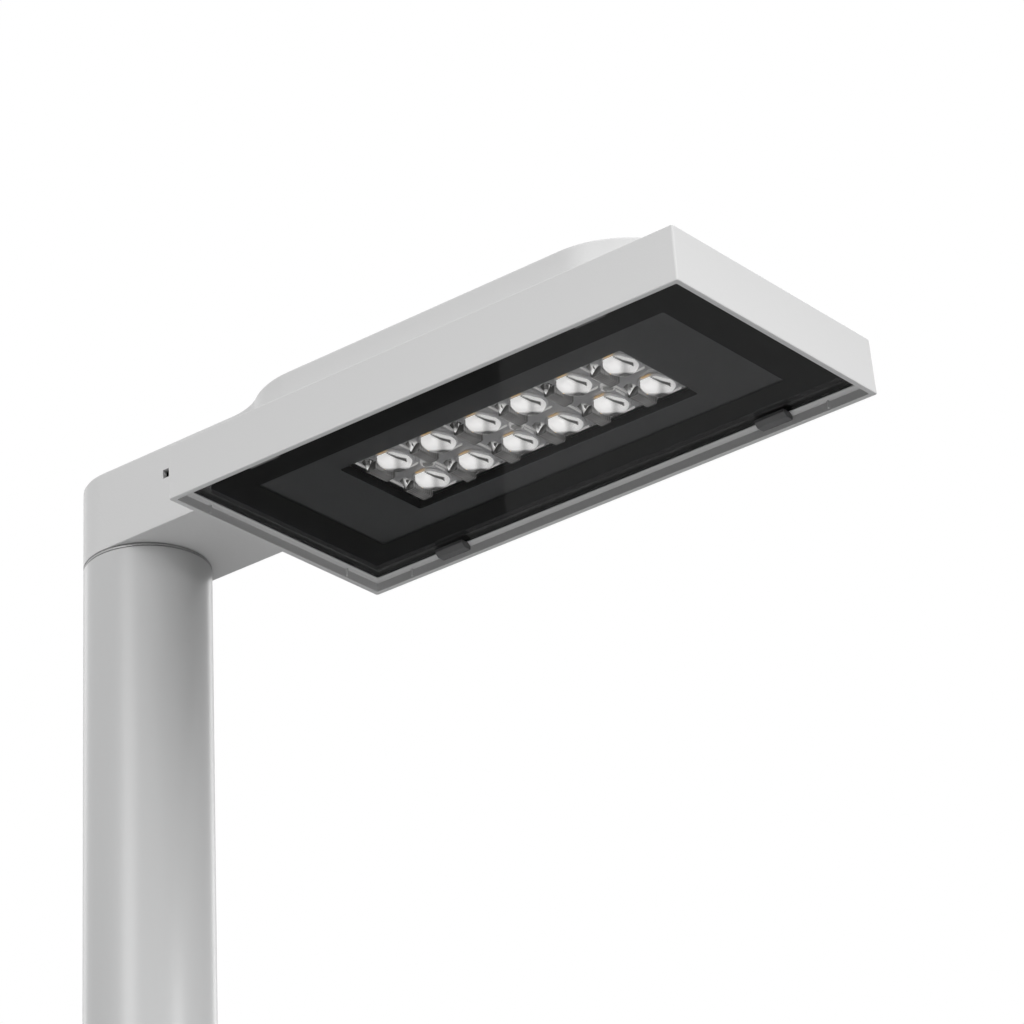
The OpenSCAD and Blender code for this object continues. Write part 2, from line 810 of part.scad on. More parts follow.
module clamp_ring() {
    color("gray") translate([0, 0, arm_z + arm_floor]) difference() {
        union() {
            cylinder(r = clamp_r, h = clamp_h);
            translate([stub_r, -clamp_ear, 0]) cube([clamp_ear_end - stub_r, 2 * clamp_ear, clamp_h]);
        }
        translate([0, 0, -1]) cylinder(r = stub_r + run_gap, h = clamp_h + 2);
        translate([0, -clamp_slit / 2, -1]) cube([clamp_ear_end + 1, clamp_slit, clamp_h + 2]);
        translate([clamp_x, -clamp_ear - 1, clamp_up - arm_floor])
            along_y(clamp_bolt_d / 2 + screw_gap, 2 * clamp_ear + 2);
        for (a = clamp_screw_angles)
            rotate([0, 0, a]) translate([(stub_r + clamp_r) / 2, 0, -1])
                cylinder(d = clamp_screw_d, h = clamp_h + 2);
    }
}

module clamp_bolt() {
    color("silver") translate([clamp_x, 0, arm_z + clamp_up]) difference() {
        union() {
            translate([0, -clamp_ear - clamp_bolt_d, 0]) along_y(clamp_bolt_d * 0.83, clamp_bolt_d);
            translate([0, -clamp_ear, 0]) along_y(clamp_bolt_d / 2, 2 * clamp_ear + 7);
        }
        translate([0, -clamp_ear - clamp_bolt_d - 1, 0]) rotate([-90, 0, 0])
            cylinder(r = 2.8, h = 4, $fn = 6);
    }
}

module clamp_nut() {
    color("silver") translate([clamp_x, clamp_ear, arm_z + clamp_up]) difference() {
        rotate([-90, 0, 0]) cylinder(r = clamp_bolt_d * 0.95, h = 5, $fn = 6);
        translate([0, -1, 0]) along_y(clamp_bolt_d / 2, 7);
    }
}

module clamp_screws() {
    color("silver") for (a = clamp_screw_angles)
        rotate([0, 0, a]) translate([(stub_r + clamp_r) / 2, 0, arm_z + 2]) {
            cylinder(d = clamp_screw_d, h = arm_floor - 2 + clamp_h);
            translate([0, 0, arm_floor - 2 + clamp_h]) cylinder(d = clamp_screw_d + 2.5, h = 3);
        }
}

// One glass clip's outline across the rim, on the +Y side
module clip_profile() {
    wall_y = head_r - rim_t;
    tip_y = head_r - pocket_in - clip_reach;
    low_z = glass_z - 5.8;
    polygon([
        [tip_y, glass_z], [tip_y, glass_z - 2.4], [tip_y + 3, low_z], [wall_y, low_z],
        [wall_y, low_z + 1], [wall_y + clip_tongue, low_z + 1], [wall_y + clip_tongue, glass_z - 1.8],
        [wall_y, glass_z - 1.8], [wall_y, glass_z]
    ]);
}

module glass_clip_shapes() {
    for (s = [0, 1], x = [-1, 1]) mirror([0, s, 0])
        translate([head_x + x * clip_spread / 2 - clip_l / 2, 0, 0])
            rotate([90, 0, 90]) linear_extrude(clip_l) clip_profile();
}

module glass_clips() {
    color("black") glass_clip_shapes();
}

module tray_housing() {
    nib_h = rim_depth - 1;
    color("gainsboro") difference() {
        union() {
            difference() {
                sloped_block(0, front_draft, rim_z, tray_top, 0, side_draft);
                head_block(rim_t, rim_z - 1, ledge_z + eps);
                sloped_block(rim_t, pocket_in, ledge_z, glass_z, pocket_in, pocket_in);
                head_block(pocket_in, glass_z - eps, seat_z);
                head_block(cavity_in, seat_z - eps, ceiling_z);
            }
            for (s = [-1, 1]) {
                for (x = [head_back + nib_inset, head_front - nib_inset])
                    translate([x, s * (head_r - rim_t), rim_z + 1.5]) cylinder(r = nib_r, h = nib_h);
                for (x = [head_back + rim_t, head_front - rim_t])
                    translate([x, s * (head_r - nib_inset), rim_z + 1.5]) cylinder(r = nib_r, h = nib_h);
            }
            for (x = pillar_xs, s = [-1, 1])
                translate([x, s * pillar_y, mask_z + mask_t])
                    cylinder(r = pillar_r, h = ceiling_z + 1 - mask_z - mask_t);
            translate([head_x - spreader_l / 2, -spreader_w / 2, spreader_top])
                cube([spreader_l, spreader_w, ceiling_z + 1 - spreader_top]);
        }
        glass_clip_shapes();
        for (p = casting_screws_at)
            translate([p.x, p.y, ceiling_z - 1])
                cylinder(r = casting_screw_d / 2 + screw_gap, h = plate_t + 2);
        for (x = pillar_xs, s = [-1, 1])
            translate([x, s * pillar_y, mask_z]) cylinder(d = mask_screw_d, h = 12);
        at_spreader_screws() translate([0, 0, -1]) cylinder(d = spreader_screw_d, h = spreader_t + 6);
        at_gear_screws() translate([0, 0, -gear_plate_t - 3]) cylinder(d = gear_screw_d, h = 4);
        translate([grommet_x, 0, ceiling_z - 1]) cylinder(r = grommet_r, h = plate_t + 2);
    }
}

// ---- Glass and its seal

module glass_panel() {
    color([0.8, 0.85, 0.85, 0.35]) head_block(pocket_in + glass_gap, glass_z, glass_z + glass_t);
}

module glass_gasket() {
    color("black") difference() {
        head_block(pocket_in + glass_gap, glass_z + glass_t, seat_z);
        head_block(pocket_in + glass_gap + gasket_w, glass_z, seat_z + 1);
    }
}

// ---- Light engine

module mask_plate() {
    color("dimgray") difference() {
        head_block(cavity_in + mask_inset, mask_z, mask_z + mask_t);
        translate([head_x - window_l / 2, -window_w / 2, mask_z - 1])
            cube([window_l, window_w, mask_t + 2]);
        for (x = pillar_xs, s = [-1, 1])
            translate([x, s * pillar_y, mask_z - 1]) cylinder(d = mask_screw_d, h = mask_t + 2);
    }
}

module mask_screws() {
    color("black") for (x = pillar_xs, s = [-1, 1])
        translate([x, s * pillar_y, mask_z]) screw_up(mask_screw_d, 11, mask_screw_head_d, 0.9);
}

// The middle of each light module, on the lens plate's underside
module at_module(i) {
    translate([head_x + (i - 2) * 2 * lens_pitch, 0, lens_z]) children();
}

module at_spreader_screws() {
    for (x = [-3, -1, 1, 3], s = [-1, 1])
        translate([
            head_x + x / 3 * (spreader_l / 2 - 8), s * (spreader_w / 2 - spreader_screw_head_d / 2 - 0.5),
            spreader_z
        ]) children();
}

module heat_spreader() {
    color("silver") difference() {
        translate([head_x - spreader_l / 2, -spreader_w / 2, spreader_z])
            cube([spreader_l, spreader_w, spreader_t]);
        at_spreader_screws() translate([0, 0, -1]) cylinder(d = spreader_screw_d, h = spreader_t + 2);
        for (i = [1, 2, 3])
            at_module(i) cylinder(d = lens_screw_d, h = spreader_z - lens_z + spreader_t - 1);
    }
}

module spreader_screws() {
    color("gray") at_spreader_screws()
        screw_up(spreader_screw_d, spreader_t + 4, spreader_screw_head_d, spreader_screw_head_h);
}

module led_board(i) {
    color("white") at_module(i) difference() {
        translate([-module_w / 2, -module_w / 2, board_z - lens_z]) cube([module_w, module_w, board_t]);
        cylinder(d = lens_screw_d, h = board_z - lens_z + board_t + 1);
    }
}

module led_board_1() {
    led_board(1);
}

module led_board_2() {
    led_board(2);
}

module led_board_3() {
    led_board(3);
}

module led_chips() {
    color("gold") for (i = [1, 2, 3], x = [-1, 1], y = [-1, 1])
        at_module(i) translate([x * lens_pitch / 2 - chip_w / 2, y * lens_pitch / 2 - chip_w / 2,
            board_z - lens_z - chip_t]) cube([chip_w, chip_w, chip_t]);
}

module lens_module(i) {
    cap_r = (pow(lens_d / 2, 2) + pow(lens_rise, 2)) / (2 * lens_rise);
    inner_w = module_w - 2 * lens_wall;
    color([0.9, 0.92, 0.95, 0.5]) at_module(i) difference() {
        union() {
            translate([-module_w / 2, -module_w / 2, 0])
                cube([module_w, module_w, lens_plate_t + lens_skirt]);
            for (x = [-1, 1], y = [-1, 1])
                translate([x * lens_pitch / 2, y * lens_pitch / 2, 0]) intersection() {
                    translate([0, 0, cap_r - lens_rise]) sphere(r = cap_r);
                    translate([0, 0, -lens_rise]) cylinder(d = lens_d, h = lens_rise + 1);
                }
        }
        difference() {
            translate([-inner_w / 2, -inner_w / 2, lens_plate_t]) cube([inner_w, inner_w, lens_skirt + 1]);
            cylinder(d = lens_screw_head_d, h = lens_plate_t + lens_skirt);
        }
        translate([0, 0, -1]) cylinder(d = lens_screw_d, h = lens_plate_t + lens_skirt + 2);
    }
}

module lens_module_1() {
    lens_module(1);
}

module lens_module_2() {
    lens_module(2);
}

module lens_module_3() {
    lens_module(3);
}

module lens_screws() {
    color("silver") for (i = [1, 2, 3])
        at_module(i)
            screw_up(
                lens_screw_d, spreader_z - lens_z + spreader_t - 2,
                lens_screw_head_d, lens_screw_head_h
            );
}

// ---- Gear

module at_gear_screws() {
    for (x = [gear_plate_x + 5, gear_plate_x + gear_plate_l - 5], s = [-1, 1])
        translate([x, s * (gear_plate_w / 2 - 5), gear_z]) children();
}

module gear_plate() {
    color("silver") difference() {
        translate([gear_plate_x, -gear_plate_w / 2, tray_top])
            cube([gear_plate_l, gear_plate_w, gear_plate_t]);
        at_gear_screws() translate([0, 0, -gear_plate_t - 1])
            cylinder(d = gear_screw_d, h = gear_plate_t + 2);
    }
}

module gear_screws() {
    color("silver") at_gear_screws() mirror([0, 0, 1])
        screw_up(gear_screw_d, gear_plate_t + 2.5, 7, 2.4);
}

module driver() {
    color("white") difference() {
        translate([driver_x, -driver_w / 2, gear_z]) cube([driver_l, driver_w, driver_h]);
        for (s = [-1, 1])
            translate([driver_x + 12, s * driver_w / 2, gear_z + driver_h - 12]) rotate([45, 0, 0])
                translate([0, -3, -3]) cube([driver_l - 24, 6, 6]);
    }
}

module surge_protector() {
    color("firebrick") translate([surge_x, 12, gear_z]) cube(surge_size);
}

module head_terminal() {
    color("beige") difference() {
        translate([terminal_x, -terminal_size.y / 2, gear_z]) cube(terminal_size);
        for (y = [-16, -8, 8, 16])
            translate([terminal_x - 1, y, gear_z + terminal_size.z / 2]) along_x(2.2, 9);
    }
}

module cable_gland() {
    color("dimgray") translate([bulkhead_x, 0, arm_z + gland_up]) difference() {
        union() {
            translate([-gland_l, 0, 0]) along_x(gland_r + 0.5, gland_l);
            translate([-gland_l / 2, 0, 0]) rotate([0, 90, 0])
                cylinder(r = gland_r + 3, h = gland_l / 2, $fn = 6);
            along_x(gland_r, bulkhead_t);
            translate([bulkhead_t, 0, 0]) rotate([0, 90, 0]) cylinder(r = gland_r + 3, h = 5, $fn = 6);
        }
        translate([-gland_l - 1, 0, 0]) along_x(cable_r + 0.15, gland_l + bulkhead_t + 8);
    }
}

module breather_vent() {
    color("dimgray") translate([bulkhead_x, 28, arm_z + gland_up]) {
        translate([-5, 0, 0]) along_x(9, 5);
        along_x(6, bulkhead_t + 3);
    }
}

module head_cable() {
    color("black") swept(smooth(head_route, 2), cable_r, [0, 1, 0]);
}

module driver_leads() {
    lead_x = terminal_x + terminal_size.x;
    color("saddlebrown") for (y = [-6, 0, 6])
        translate([lead_x, y, gear_z + lead_up]) along_x(wire_r, driver_x - lead_x);
}

// Route of one lead from the driver's end, down through the grommet to the boards' connector
function led_lead_route(y) =
    let (z0 = gear_z + lead_up, z1 = spreader_z - connector_size.z / 2, x1 = connector_x + connector_size.x)
        [
            [driver_x + driver_l, y, z0], [(driver_x + driver_l + grommet_x) / 2, y, z0],
            [grommet_x - 12, y, z0 - 1], [grommet_x - 2, y, z0 - 7], [grommet_x, y, tray_top + 1],
            [grommet_x, y, ceiling_z - 3], [grommet_x - 2, y, z1 + 4], [grommet_x - 8, y, z1],
            [x1, y, z1]
        ];

module led_leads() {
    color("black") for (y = [-3, 3])
        swept(smooth(led_lead_route(y), 3), wire_r, [0, 1, 0], 8);
    color("white") translate([connector_x, -connector_size.y / 2, spreader_z - connector_size.z])
        cube(connector_size);
}

module lead_grommet() {
    color("black") translate([grommet_x, 0, ceiling_z - 1.5]) difference() {
        union() {
            cylinder(r = grommet_r, h = plate_t + 3);
            cylinder(r = grommet_r + 2, h = 1.5);
            translate([0, 0, plate_t + 1.5]) cylinder(r = grommet_r + 2, h = 1.5);
        }
        for (y = [-3, 3])
            translate([0, y, -1]) cylinder(r = wire_r + 0.3, h = plate_t + 6);
    }
}

// ---- Each node, alone or together

base_plate();
base_gussets();
pole_tube();
spigot();
hatch_lugs();
equipment_rail();
rail_brackets();
fuse_box_base();
fuse_box_cover();
fuse_box_screws();
fuse_holders();
fuses();
post_terminal();
post_glands();
cable_clamp();
earth_stud();
earth_nut();
earth_lug();
earth_wire();
riser_cable();
hatch_door();
hatch_gasket();
hatch_screw_upper();
hatch_screw_lower();
arm_casting();
tray_housing();
casting_seal();
casting_screws();
clamp_ring();
clamp_bolt();
clamp_nut();
clamp_screws();
glass_panel();
glass_gasket();
glass_clips();
mask_plate();
mask_screws();
heat_spreader();
spreader_screws();
led_board_1();
led_board_2();
led_board_3();
led_chips();
lens_module_1();
lens_module_2();
lens_module_3();
lens_screws();
gear_plate();
gear_screws();
driver();
surge_protector();
head_terminal();
cable_gland();
breather_vent();
head_cable();
driver_leads();
led_leads();
lead_grommet();
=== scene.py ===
import math
import bmesh
import bpy
import numpy as np
from mathutils import Matrix, Vector


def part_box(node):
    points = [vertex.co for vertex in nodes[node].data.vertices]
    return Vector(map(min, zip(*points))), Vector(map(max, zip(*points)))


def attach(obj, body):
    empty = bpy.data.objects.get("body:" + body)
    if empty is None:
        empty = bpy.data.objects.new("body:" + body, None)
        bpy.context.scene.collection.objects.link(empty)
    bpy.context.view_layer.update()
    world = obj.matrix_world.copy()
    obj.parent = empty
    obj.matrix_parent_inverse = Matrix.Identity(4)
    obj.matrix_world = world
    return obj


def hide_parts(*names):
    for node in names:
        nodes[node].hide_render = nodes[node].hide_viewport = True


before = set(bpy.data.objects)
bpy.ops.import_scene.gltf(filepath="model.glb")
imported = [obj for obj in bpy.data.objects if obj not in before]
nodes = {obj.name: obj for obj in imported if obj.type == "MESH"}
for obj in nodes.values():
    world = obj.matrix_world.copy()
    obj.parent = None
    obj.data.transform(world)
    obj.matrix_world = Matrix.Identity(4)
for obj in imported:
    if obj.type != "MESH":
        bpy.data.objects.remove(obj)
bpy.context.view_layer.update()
scene = bpy.context.scene
print("frame loaded,", len(nodes), "nodes")

mm = 0.001
tau = 2 * math.pi


# Places and levels, read from the frame

def low(node):
    return np.array(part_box(node)[0])


def high(node):
    return np.array(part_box(node)[1])


poleR = high("pole_tube")[0]
poleLow, poleTop = low("pole_tube")[2], high("pole_tube")[2]
armLow, armTop = low("arm_casting")[2], high("arm_casting")[2]
trayA, trayB = low("tray_housing"), high("tray_housing")
glassA, glassB = low("glass_panel"), high("glass_panel")
maskA, maskB = low("mask_plate"), high("mask_plate")
rimZ, trayTop = trayA[2], trayB[2]
headBack, headFront, headX = trayA[0], trayB[0], (trayA[0] + trayB[0]) / 2
headR = trayB[1]
lensRise = 7.5 * mm


# Mesh building

def smoothByAngle(mesh, degrees):
    # Faces shade smooth, and edges sharper than the angle stay sharp
    mesh.polygons.foreach_set("use_smooth", np.ones(len(mesh.polygons), bool))
    mesh.set_sharp_from_angle(angle=math.radians(degrees))


def makeMesh(name, parts, degrees=32, merge=2e-6, closed=True):
    # parts is a list of (points, faces, material index, painted light); each counts its own points from 0
    points, faces, kinds, painted_lights, count = [], [], [], [], 0
    for part in parts:
        p = np.asarray(part[0], float).reshape(-1, 3)
        points.append(p)
        new = [[i + count for i in f] for f in part[1]]
        faces += new
        kinds += [part[2] if len(part) > 2 else 0] * len(new)
        painted_lights.append(part[3].reshape(-1) if len(part) > 3 else np.ones(len(p)))
        count += len(p)
    mesh = bpy.data.meshes.new(name)
    mesh.from_pydata(np.concatenate(points).tolist(), [], faces)
    mesh.polygons.foreach_set("material_index", np.array(kinds, np.int32))
    # The fourth entries become a point attribute of painted light and shade, which the dome finish reads
    if any(len(part) > 3 for part in parts):
        mesh.attributes.new("painted_light", "FLOAT", "POINT").data.foreach_set("value", np.concatenate(painted_lights))
    bm = bmesh.new()
    bm.from_mesh(mesh)
    bmesh.ops.remove_doubles(bm, verts=bm.verts, dist=merge)
    bmesh.ops.dissolve_degenerate(bm, dist=merge, edges=bm.edges)
    if closed:
        bmesh.ops.recalc_face_normals(bm, faces=bm.faces)
    bm.to_mesh(mesh)
    bm.free()
    smoothByAngle(mesh, degrees)
    return mesh


def makePiece(name, mesh, body, finishes, replaced=()):
    obj = bpy.data.objects.new(name, mesh)
    scene.collection.objects.link(obj)
    for item in finishes:
        mesh.materials.append(item)
    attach(obj, body)
    if replaced:
        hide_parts(*replaced)
    return obj


def gridFaces(nu, nv, wrapU=False, wrapV=False, flip=False, skip=None):
    # Faces of a grid of nu rows by nv columns; skip is a boolean grid of faces left out
    i = np.arange(nu if wrapU else nu - 1)
    j = np.arange(nv if wrapV else nv - 1)
    a, b = np.meshgrid(i, j, indexing="ij")
    a2, b2 = (a + 1) % nu, (b + 1) % nv
    quads = np.stack([a * nv + b, a2 * nv + b, a2 * nv + b2, a * nv + b2], -1)
    keep = np.ones(a.shape, bool) if skip is None else ~skip
    quads = quads[keep].reshape(-1, 4)
    return (quads[:, ::-1] if flip else quads).tolist()


def lathe(profile, centre, turns=96, close=False):
    # A profile of (radius, height) pairs carried round a circle: x = r cos a, y = r sin a, z = h
    a = np.arange(turns) / turns * tau
    r, h = np.array(profile).T
    x = r[:, None] * np.cos(a)
    y = r[:, None] * np.sin(a)
    z = np.repeat(h[:, None], turns, 1)
    return np.stack([x, y, z], -1) + np.array(centre), gridFaces(len(profile), turns, wrapU=close, wrapV=True)


def roundedRing(x0, x1, y0, y1, r, z, steps=5):
    # One loop round a rectangle whose corners are quarter circles of radius r
    a = np.linspace(0, math.pi / 2, steps + 1)
    corners = [(x1 - r, y1 - r, 0), (x0 + r, y1 - r, 1), (x0 + r, y0 + r, 2), (x1 - r, y0 + r, 3)]
    loop = [np.stack([cx + r * np.cos(a + k * math.pi / 2), cy + r * np.sin(a + k * math.pi / 2),
                      np.full(a.shape, z)], -1) for cx, cy, k in corners]
    return np.concatenate(loop)


def stackRings(rings, capFirst=False, capLast=False, close=False, flip=False):
    # Loops of equal length joined one to the next; a flat cap closes either end
    points = np.stack(rings)
    n, m = points.shape[:2]
    faces = gridFaces(n, m, wrapU=close, wrapV=True, flip=flip)
    first, last = list(range(m)), list(range((n - 1) * m, n * m))
    if capFirst:
        faces.append(first[::-1] if flip else first)
    if capLast:
        faces.append(last if flip else last[::-1])
    return points, faces


def fillet(r, steps=4, start=0.0, end=90.0):
    # (along, up) offsets of an arc of radius r, from one angle to another
    a = np.radians(np.linspace(start, end, steps + 1))
    return [(r * (1 - math.cos(t)), r * (1 - math.sin(t))) for t in a]


# Camera

view = {"place": (2.24202, -2.33018, 1.94809), "turn": 38.74, "tilt": 26.3, "roll": -2.57, "lens": 158.5,
        "film": 36, "clip": (0.05, 60)}


def placeCamera():
    a, e, r = (math.radians(view[k]) for k in ("turn", "tilt", "roll"))
    forward = Vector((-math.sin(a) * math.cos(e), math.cos(a) * math.cos(e), math.sin(e)))
    level = Vector((math.cos(a), math.sin(a), 0))
    above = level.cross(forward)
    right = level * math.cos(r) + above * math.sin(r)
    up = above * math.cos(r) - level * math.sin(r)
    data = bpy.data.cameras.new("camera")
    data.lens, data.sensor_width = view["lens"], view["film"]
    data.clip_start, data.clip_end = view["clip"]
    cam = bpy.data.objects.new("camera", data)
    axes = Matrix((right, up, -forward)).transposed().to_4x4()
    cam.matrix_world = Matrix.Translation(Vector(view["place"])) @ axes
    scene.collection.objects.link(cam)
    scene.camera = cam


placeCamera()
print("camera placed")


# Light, floor and surroundings

# The world is bright above the horizon and dim below it, a little less dim on the side it leans towards.
# The sheen panels are nested, so that the soft streak they throw in the glass fades at its ends.
studio = {
    "upper": 0.84, "lowerNear": 0.1, "lowerFar": 0.03, "towards": (0.627, -0.779, 0.0),
    "horizon": (-0.03, 0.14), "sideways": (-0.5, 0.6),
    "floorR": 4.2, "floorSolid": 0.45, "floorTint": 0.82, "floorRough": 0.8, "floorDrop": 0.0005,
    "floorRings": (3.6, 3.0, 2.2, 1.5, 0.8, 0.3, 0.0), "floorTurns": 96,
    "boxes": {
        "side_box": {"place": (0.5, -4.2, 4.7), "aim": (0.3, 0, 3.3), "size": (1.7, 3.4), "power": 82},
        "end_box": {"place": (4.6, 0.2, 4.5), "aim": (0.5, 0, 3.4), "size": (1.7, 3.2), "power": 118},
        "back_box": {"place": (-3.6, 1.1, 4.6), "aim": (0, 0, 3.2), "size": (1.1, 3.4), "power": 12},
        "rim_box": {"place": (-1.0, 3.8, 4.9), "aim": (0, 0, 3.2), "size": (0.8, 3.0), "power": 16},
        "low_fill": {"place": (0.4, -0.3, 0.0), "aim": (0.4, -0.3, 3.5), "size": (3.6, 3.6), "power": 11},
    },
}
sheen = {"place": (-0.617, 1.90, 2.35), "aim": (0.70, 0.26, 3.55), "power": 0.135, "height": 0.9,
         "widths": (0.85, 0.81, 0.77)}
for count, width in enumerate(sheen["widths"], 1):
    studio["boxes"]["sheen_panel_%d" % count] = {"place": sheen["place"], "aim": sheen["aim"],
                                                 "size": (width, sheen["height"]), "power": sheen["power"]}


def nodeAt(tree, kind, **settings):
    node = tree.nodes.new(kind)
    for key, value in settings.items():
        setattr(node, key, value)
    return node


def setRange(node, name, ends):
    node.inputs[name + " Min"].default_value, node.inputs[name + " Max"].default_value = ends


def buildWorld():
    world = bpy.data.worlds.new("studio")
    scene.world = world
    world.use_nodes = True
    t = world.node_tree
    t.nodes.clear()
    coord = nodeAt(t, "ShaderNodeTexCoord")
    split = nodeAt(t, "ShaderNodeSeparateXYZ")
    t.links.new(coord.outputs["Generated"], split.inputs[0])
    rise = nodeAt(t, "ShaderNodeMapRange", interpolation_type="SMOOTHSTEP")
    setRange(rise, "From", studio["horizon"])
    t.links.new(split.outputs["Z"], rise.inputs["Value"])
    dot = nodeAt(t, "ShaderNodeVectorMath", operation="DOT_PRODUCT")
    dot.inputs[1].default_value = studio["towards"]
    t.links.new(coord.outputs["Generated"], dot.inputs[0])
    side = nodeAt(t, "ShaderNodeMapRange", interpolation_type="SMOOTHSTEP")
    setRange(side, "From", studio["sideways"])
    setRange(side, "To", (studio["lowerFar"], studio["lowerNear"]))
    t.links.new(dot.outputs["Value"], side.inputs["Value"])
    both = nodeAt(t, "ShaderNodeMix", data_type="FLOAT")
    both.inputs[3].default_value = studio["upper"]
    t.links.new(rise.outputs[0], both.inputs[0])
    t.links.new(side.outputs[0], both.inputs[2])
    path = nodeAt(t, "ShaderNodeLightPath")
    seen = nodeAt(t, "ShaderNodeMix", data_type="FLOAT")
    seen.inputs[3].default_value = 1.0
    t.links.new(path.outputs["Is Camera Ray"], seen.inputs[0])
    t.links.new(both.outputs[0], seen.inputs[2])
    back = nodeAt(t, "ShaderNodeBackground")
    back.inputs["Color"].default_value = (1, 1, 1, 1)
    t.links.new(seen.outputs[0], back.inputs["Strength"])
    out = nodeAt(t, "ShaderNodeOutputWorld")
    t.links.new(back.outputs[0], out.inputs[0])


def buildLights():
    for name, box in studio["boxes"].items():
        data = bpy.data.lights.new(name, "AREA")
        data.shape, data.size, data.size_y = "RECTANGLE", box["size"][0], box["size"][1]
        data.energy = box["power"]
        lamp = bpy.data.objects.new(name, data)
        lamp.location = box["place"]
        facing = Vector(box["aim"]) - Vector(box["place"])
        lamp.rotation_euler = facing.to_track_quat("-Z", "Y").to_euler()
        lamp.visible_camera = False
        scene.collection.objects.link(lamp)


def buildFloor():
    # A pale disc that fades out towards its rim
    radii = np.array([studio["floorR"], *studio["floorRings"]])
    turns = studio["floorTurns"]
    a = np.arange(turns) / turns * tau
    grid = np.stack([radii[:, None] * np.cos(a), radii[:, None] * np.sin(a),
                     np.full((len(radii), turns), -studio["floorDrop"])], -1)
    mesh = makeMesh("floor", [(grid, gridFaces(len(radii), turns, wrapV=True))], closed=False)
    floor = bpy.data.objects.new("floor", mesh)
    scene.collection.objects.link(floor)
    mat = bpy.data.materials.new("pale_floor")
    mat.use_nodes = True
    t = mat.node_tree
    shader = t.nodes["Principled BSDF"]
    shader.inputs["Base Color"].default_value = (*[studio["floorTint"]] * 3, 1)
    shader.inputs["Roughness"].default_value = studio["floorRough"]
    coord = nodeAt(t, "ShaderNodeTexCoord")
    length = nodeAt(t, "ShaderNodeVectorMath", operation="LENGTH")
    fade = nodeAt(t, "ShaderNodeMapRange", interpolation_type="SMOOTHSTEP")
    setRange(fade, "From", (studio["floorR"] * studio["floorSolid"], studio["floorR"]))
    setRange(fade, "To", (1.0, 0.0))
    t.links.new(coord.outputs["Object"], length.inputs[0])
    t.links.new(length.outputs["Value"], fade.inputs["Value"])
    t.links.new(fade.outputs[0], shader.inputs["Alpha"])
    mesh.materials.append(mat)


buildWorld()
buildLights()
buildFloor()
scene.view_settings.view_transform = "Standard"
print("studio built")


# Finishes

def makeFinish(name, tint, rough, metal=0.0, patch=5.0, patchDepth=0.03, roughSpread=0.04,
               grain=900.0, grainDepth=0.02, stretch=(1, 1, 1), cells=False, sockets=None):
    # Colour and roughness drift between two ends on broad noise, or from cell to cell as on zinc,
    # and a fine grain lifts the surface. patch and grain are scales; grainDepth is in millimetres.
    mat = bpy.data.materials.new(name)
    mat.use_nodes = True
    t = mat.node_tree
    shader = t.nodes["Principled BSDF"]
    coord = nodeAt(t, "ShaderNodeTexCoord")
    place = nodeAt(t, "ShaderNodeMapping")
    place.inputs["Scale"].default_value = stretch
    t.links.new(coord.outputs["Object"], place.inputs["Vector"])
    if cells:
        broad = nodeAt(t, "ShaderNodeTexVoronoi")
        drift = nodeAt(t, "ShaderNodeSeparateColor")
        t.links.new(broad.outputs["Color"], drift.inputs[0])
        value = drift.outputs[0]
    else:
        broad = nodeAt(t, "ShaderNodeTexNoise")
        broad.inputs["Detail"].default_value = 4
        value = broad.outputs[0]
    broad.inputs["Scale"].default_value = patch
    t.links.new(place.outputs[0], broad.inputs["Vector"])
    shade = nodeAt(t, "ShaderNodeMix", data_type="RGBA")
    tint = np.array(tint)
    shade.inputs[6].default_value = (*np.clip(tint * (1 - patchDepth), 0, 1), 1)
    shade.inputs[7].default_value = (*np.clip(tint * (1 + patchDepth), 0, 1), 1)
    t.links.new(value, shade.inputs[0])
    t.links.new(shade.outputs[2], shader.inputs["Base Color"])
    polish = nodeAt(t, "ShaderNodeMapRange")
    setRange(polish, "To", (rough - roughSpread, rough + roughSpread))
    t.links.new(value, polish.inputs["Value"])
    t.links.new(polish.outputs[0], shader.inputs["Roughness"])
    fine = nodeAt(t, "ShaderNodeTexNoise")
    fine.inputs["Scale"].default_value, fine.inputs["Detail"].default_value = grain, 2
    t.links.new(place.outputs[0], fine.inputs["Vector"])
    bump = nodeAt(t, "ShaderNodeBump")
    bump.inputs["Strength"].default_value, bump.inputs["Distance"].default_value = 1.0, grainDepth * mm
    t.links.new(fine.outputs[0], bump.inputs["Height"])
    t.links.new(bump.outputs[0], shader.inputs["Normal"])
    shader.inputs["Metallic"].default_value = metal
    for key, number in (sockets or {}).items():
        shader.inputs[key].default_value = number
    return mat


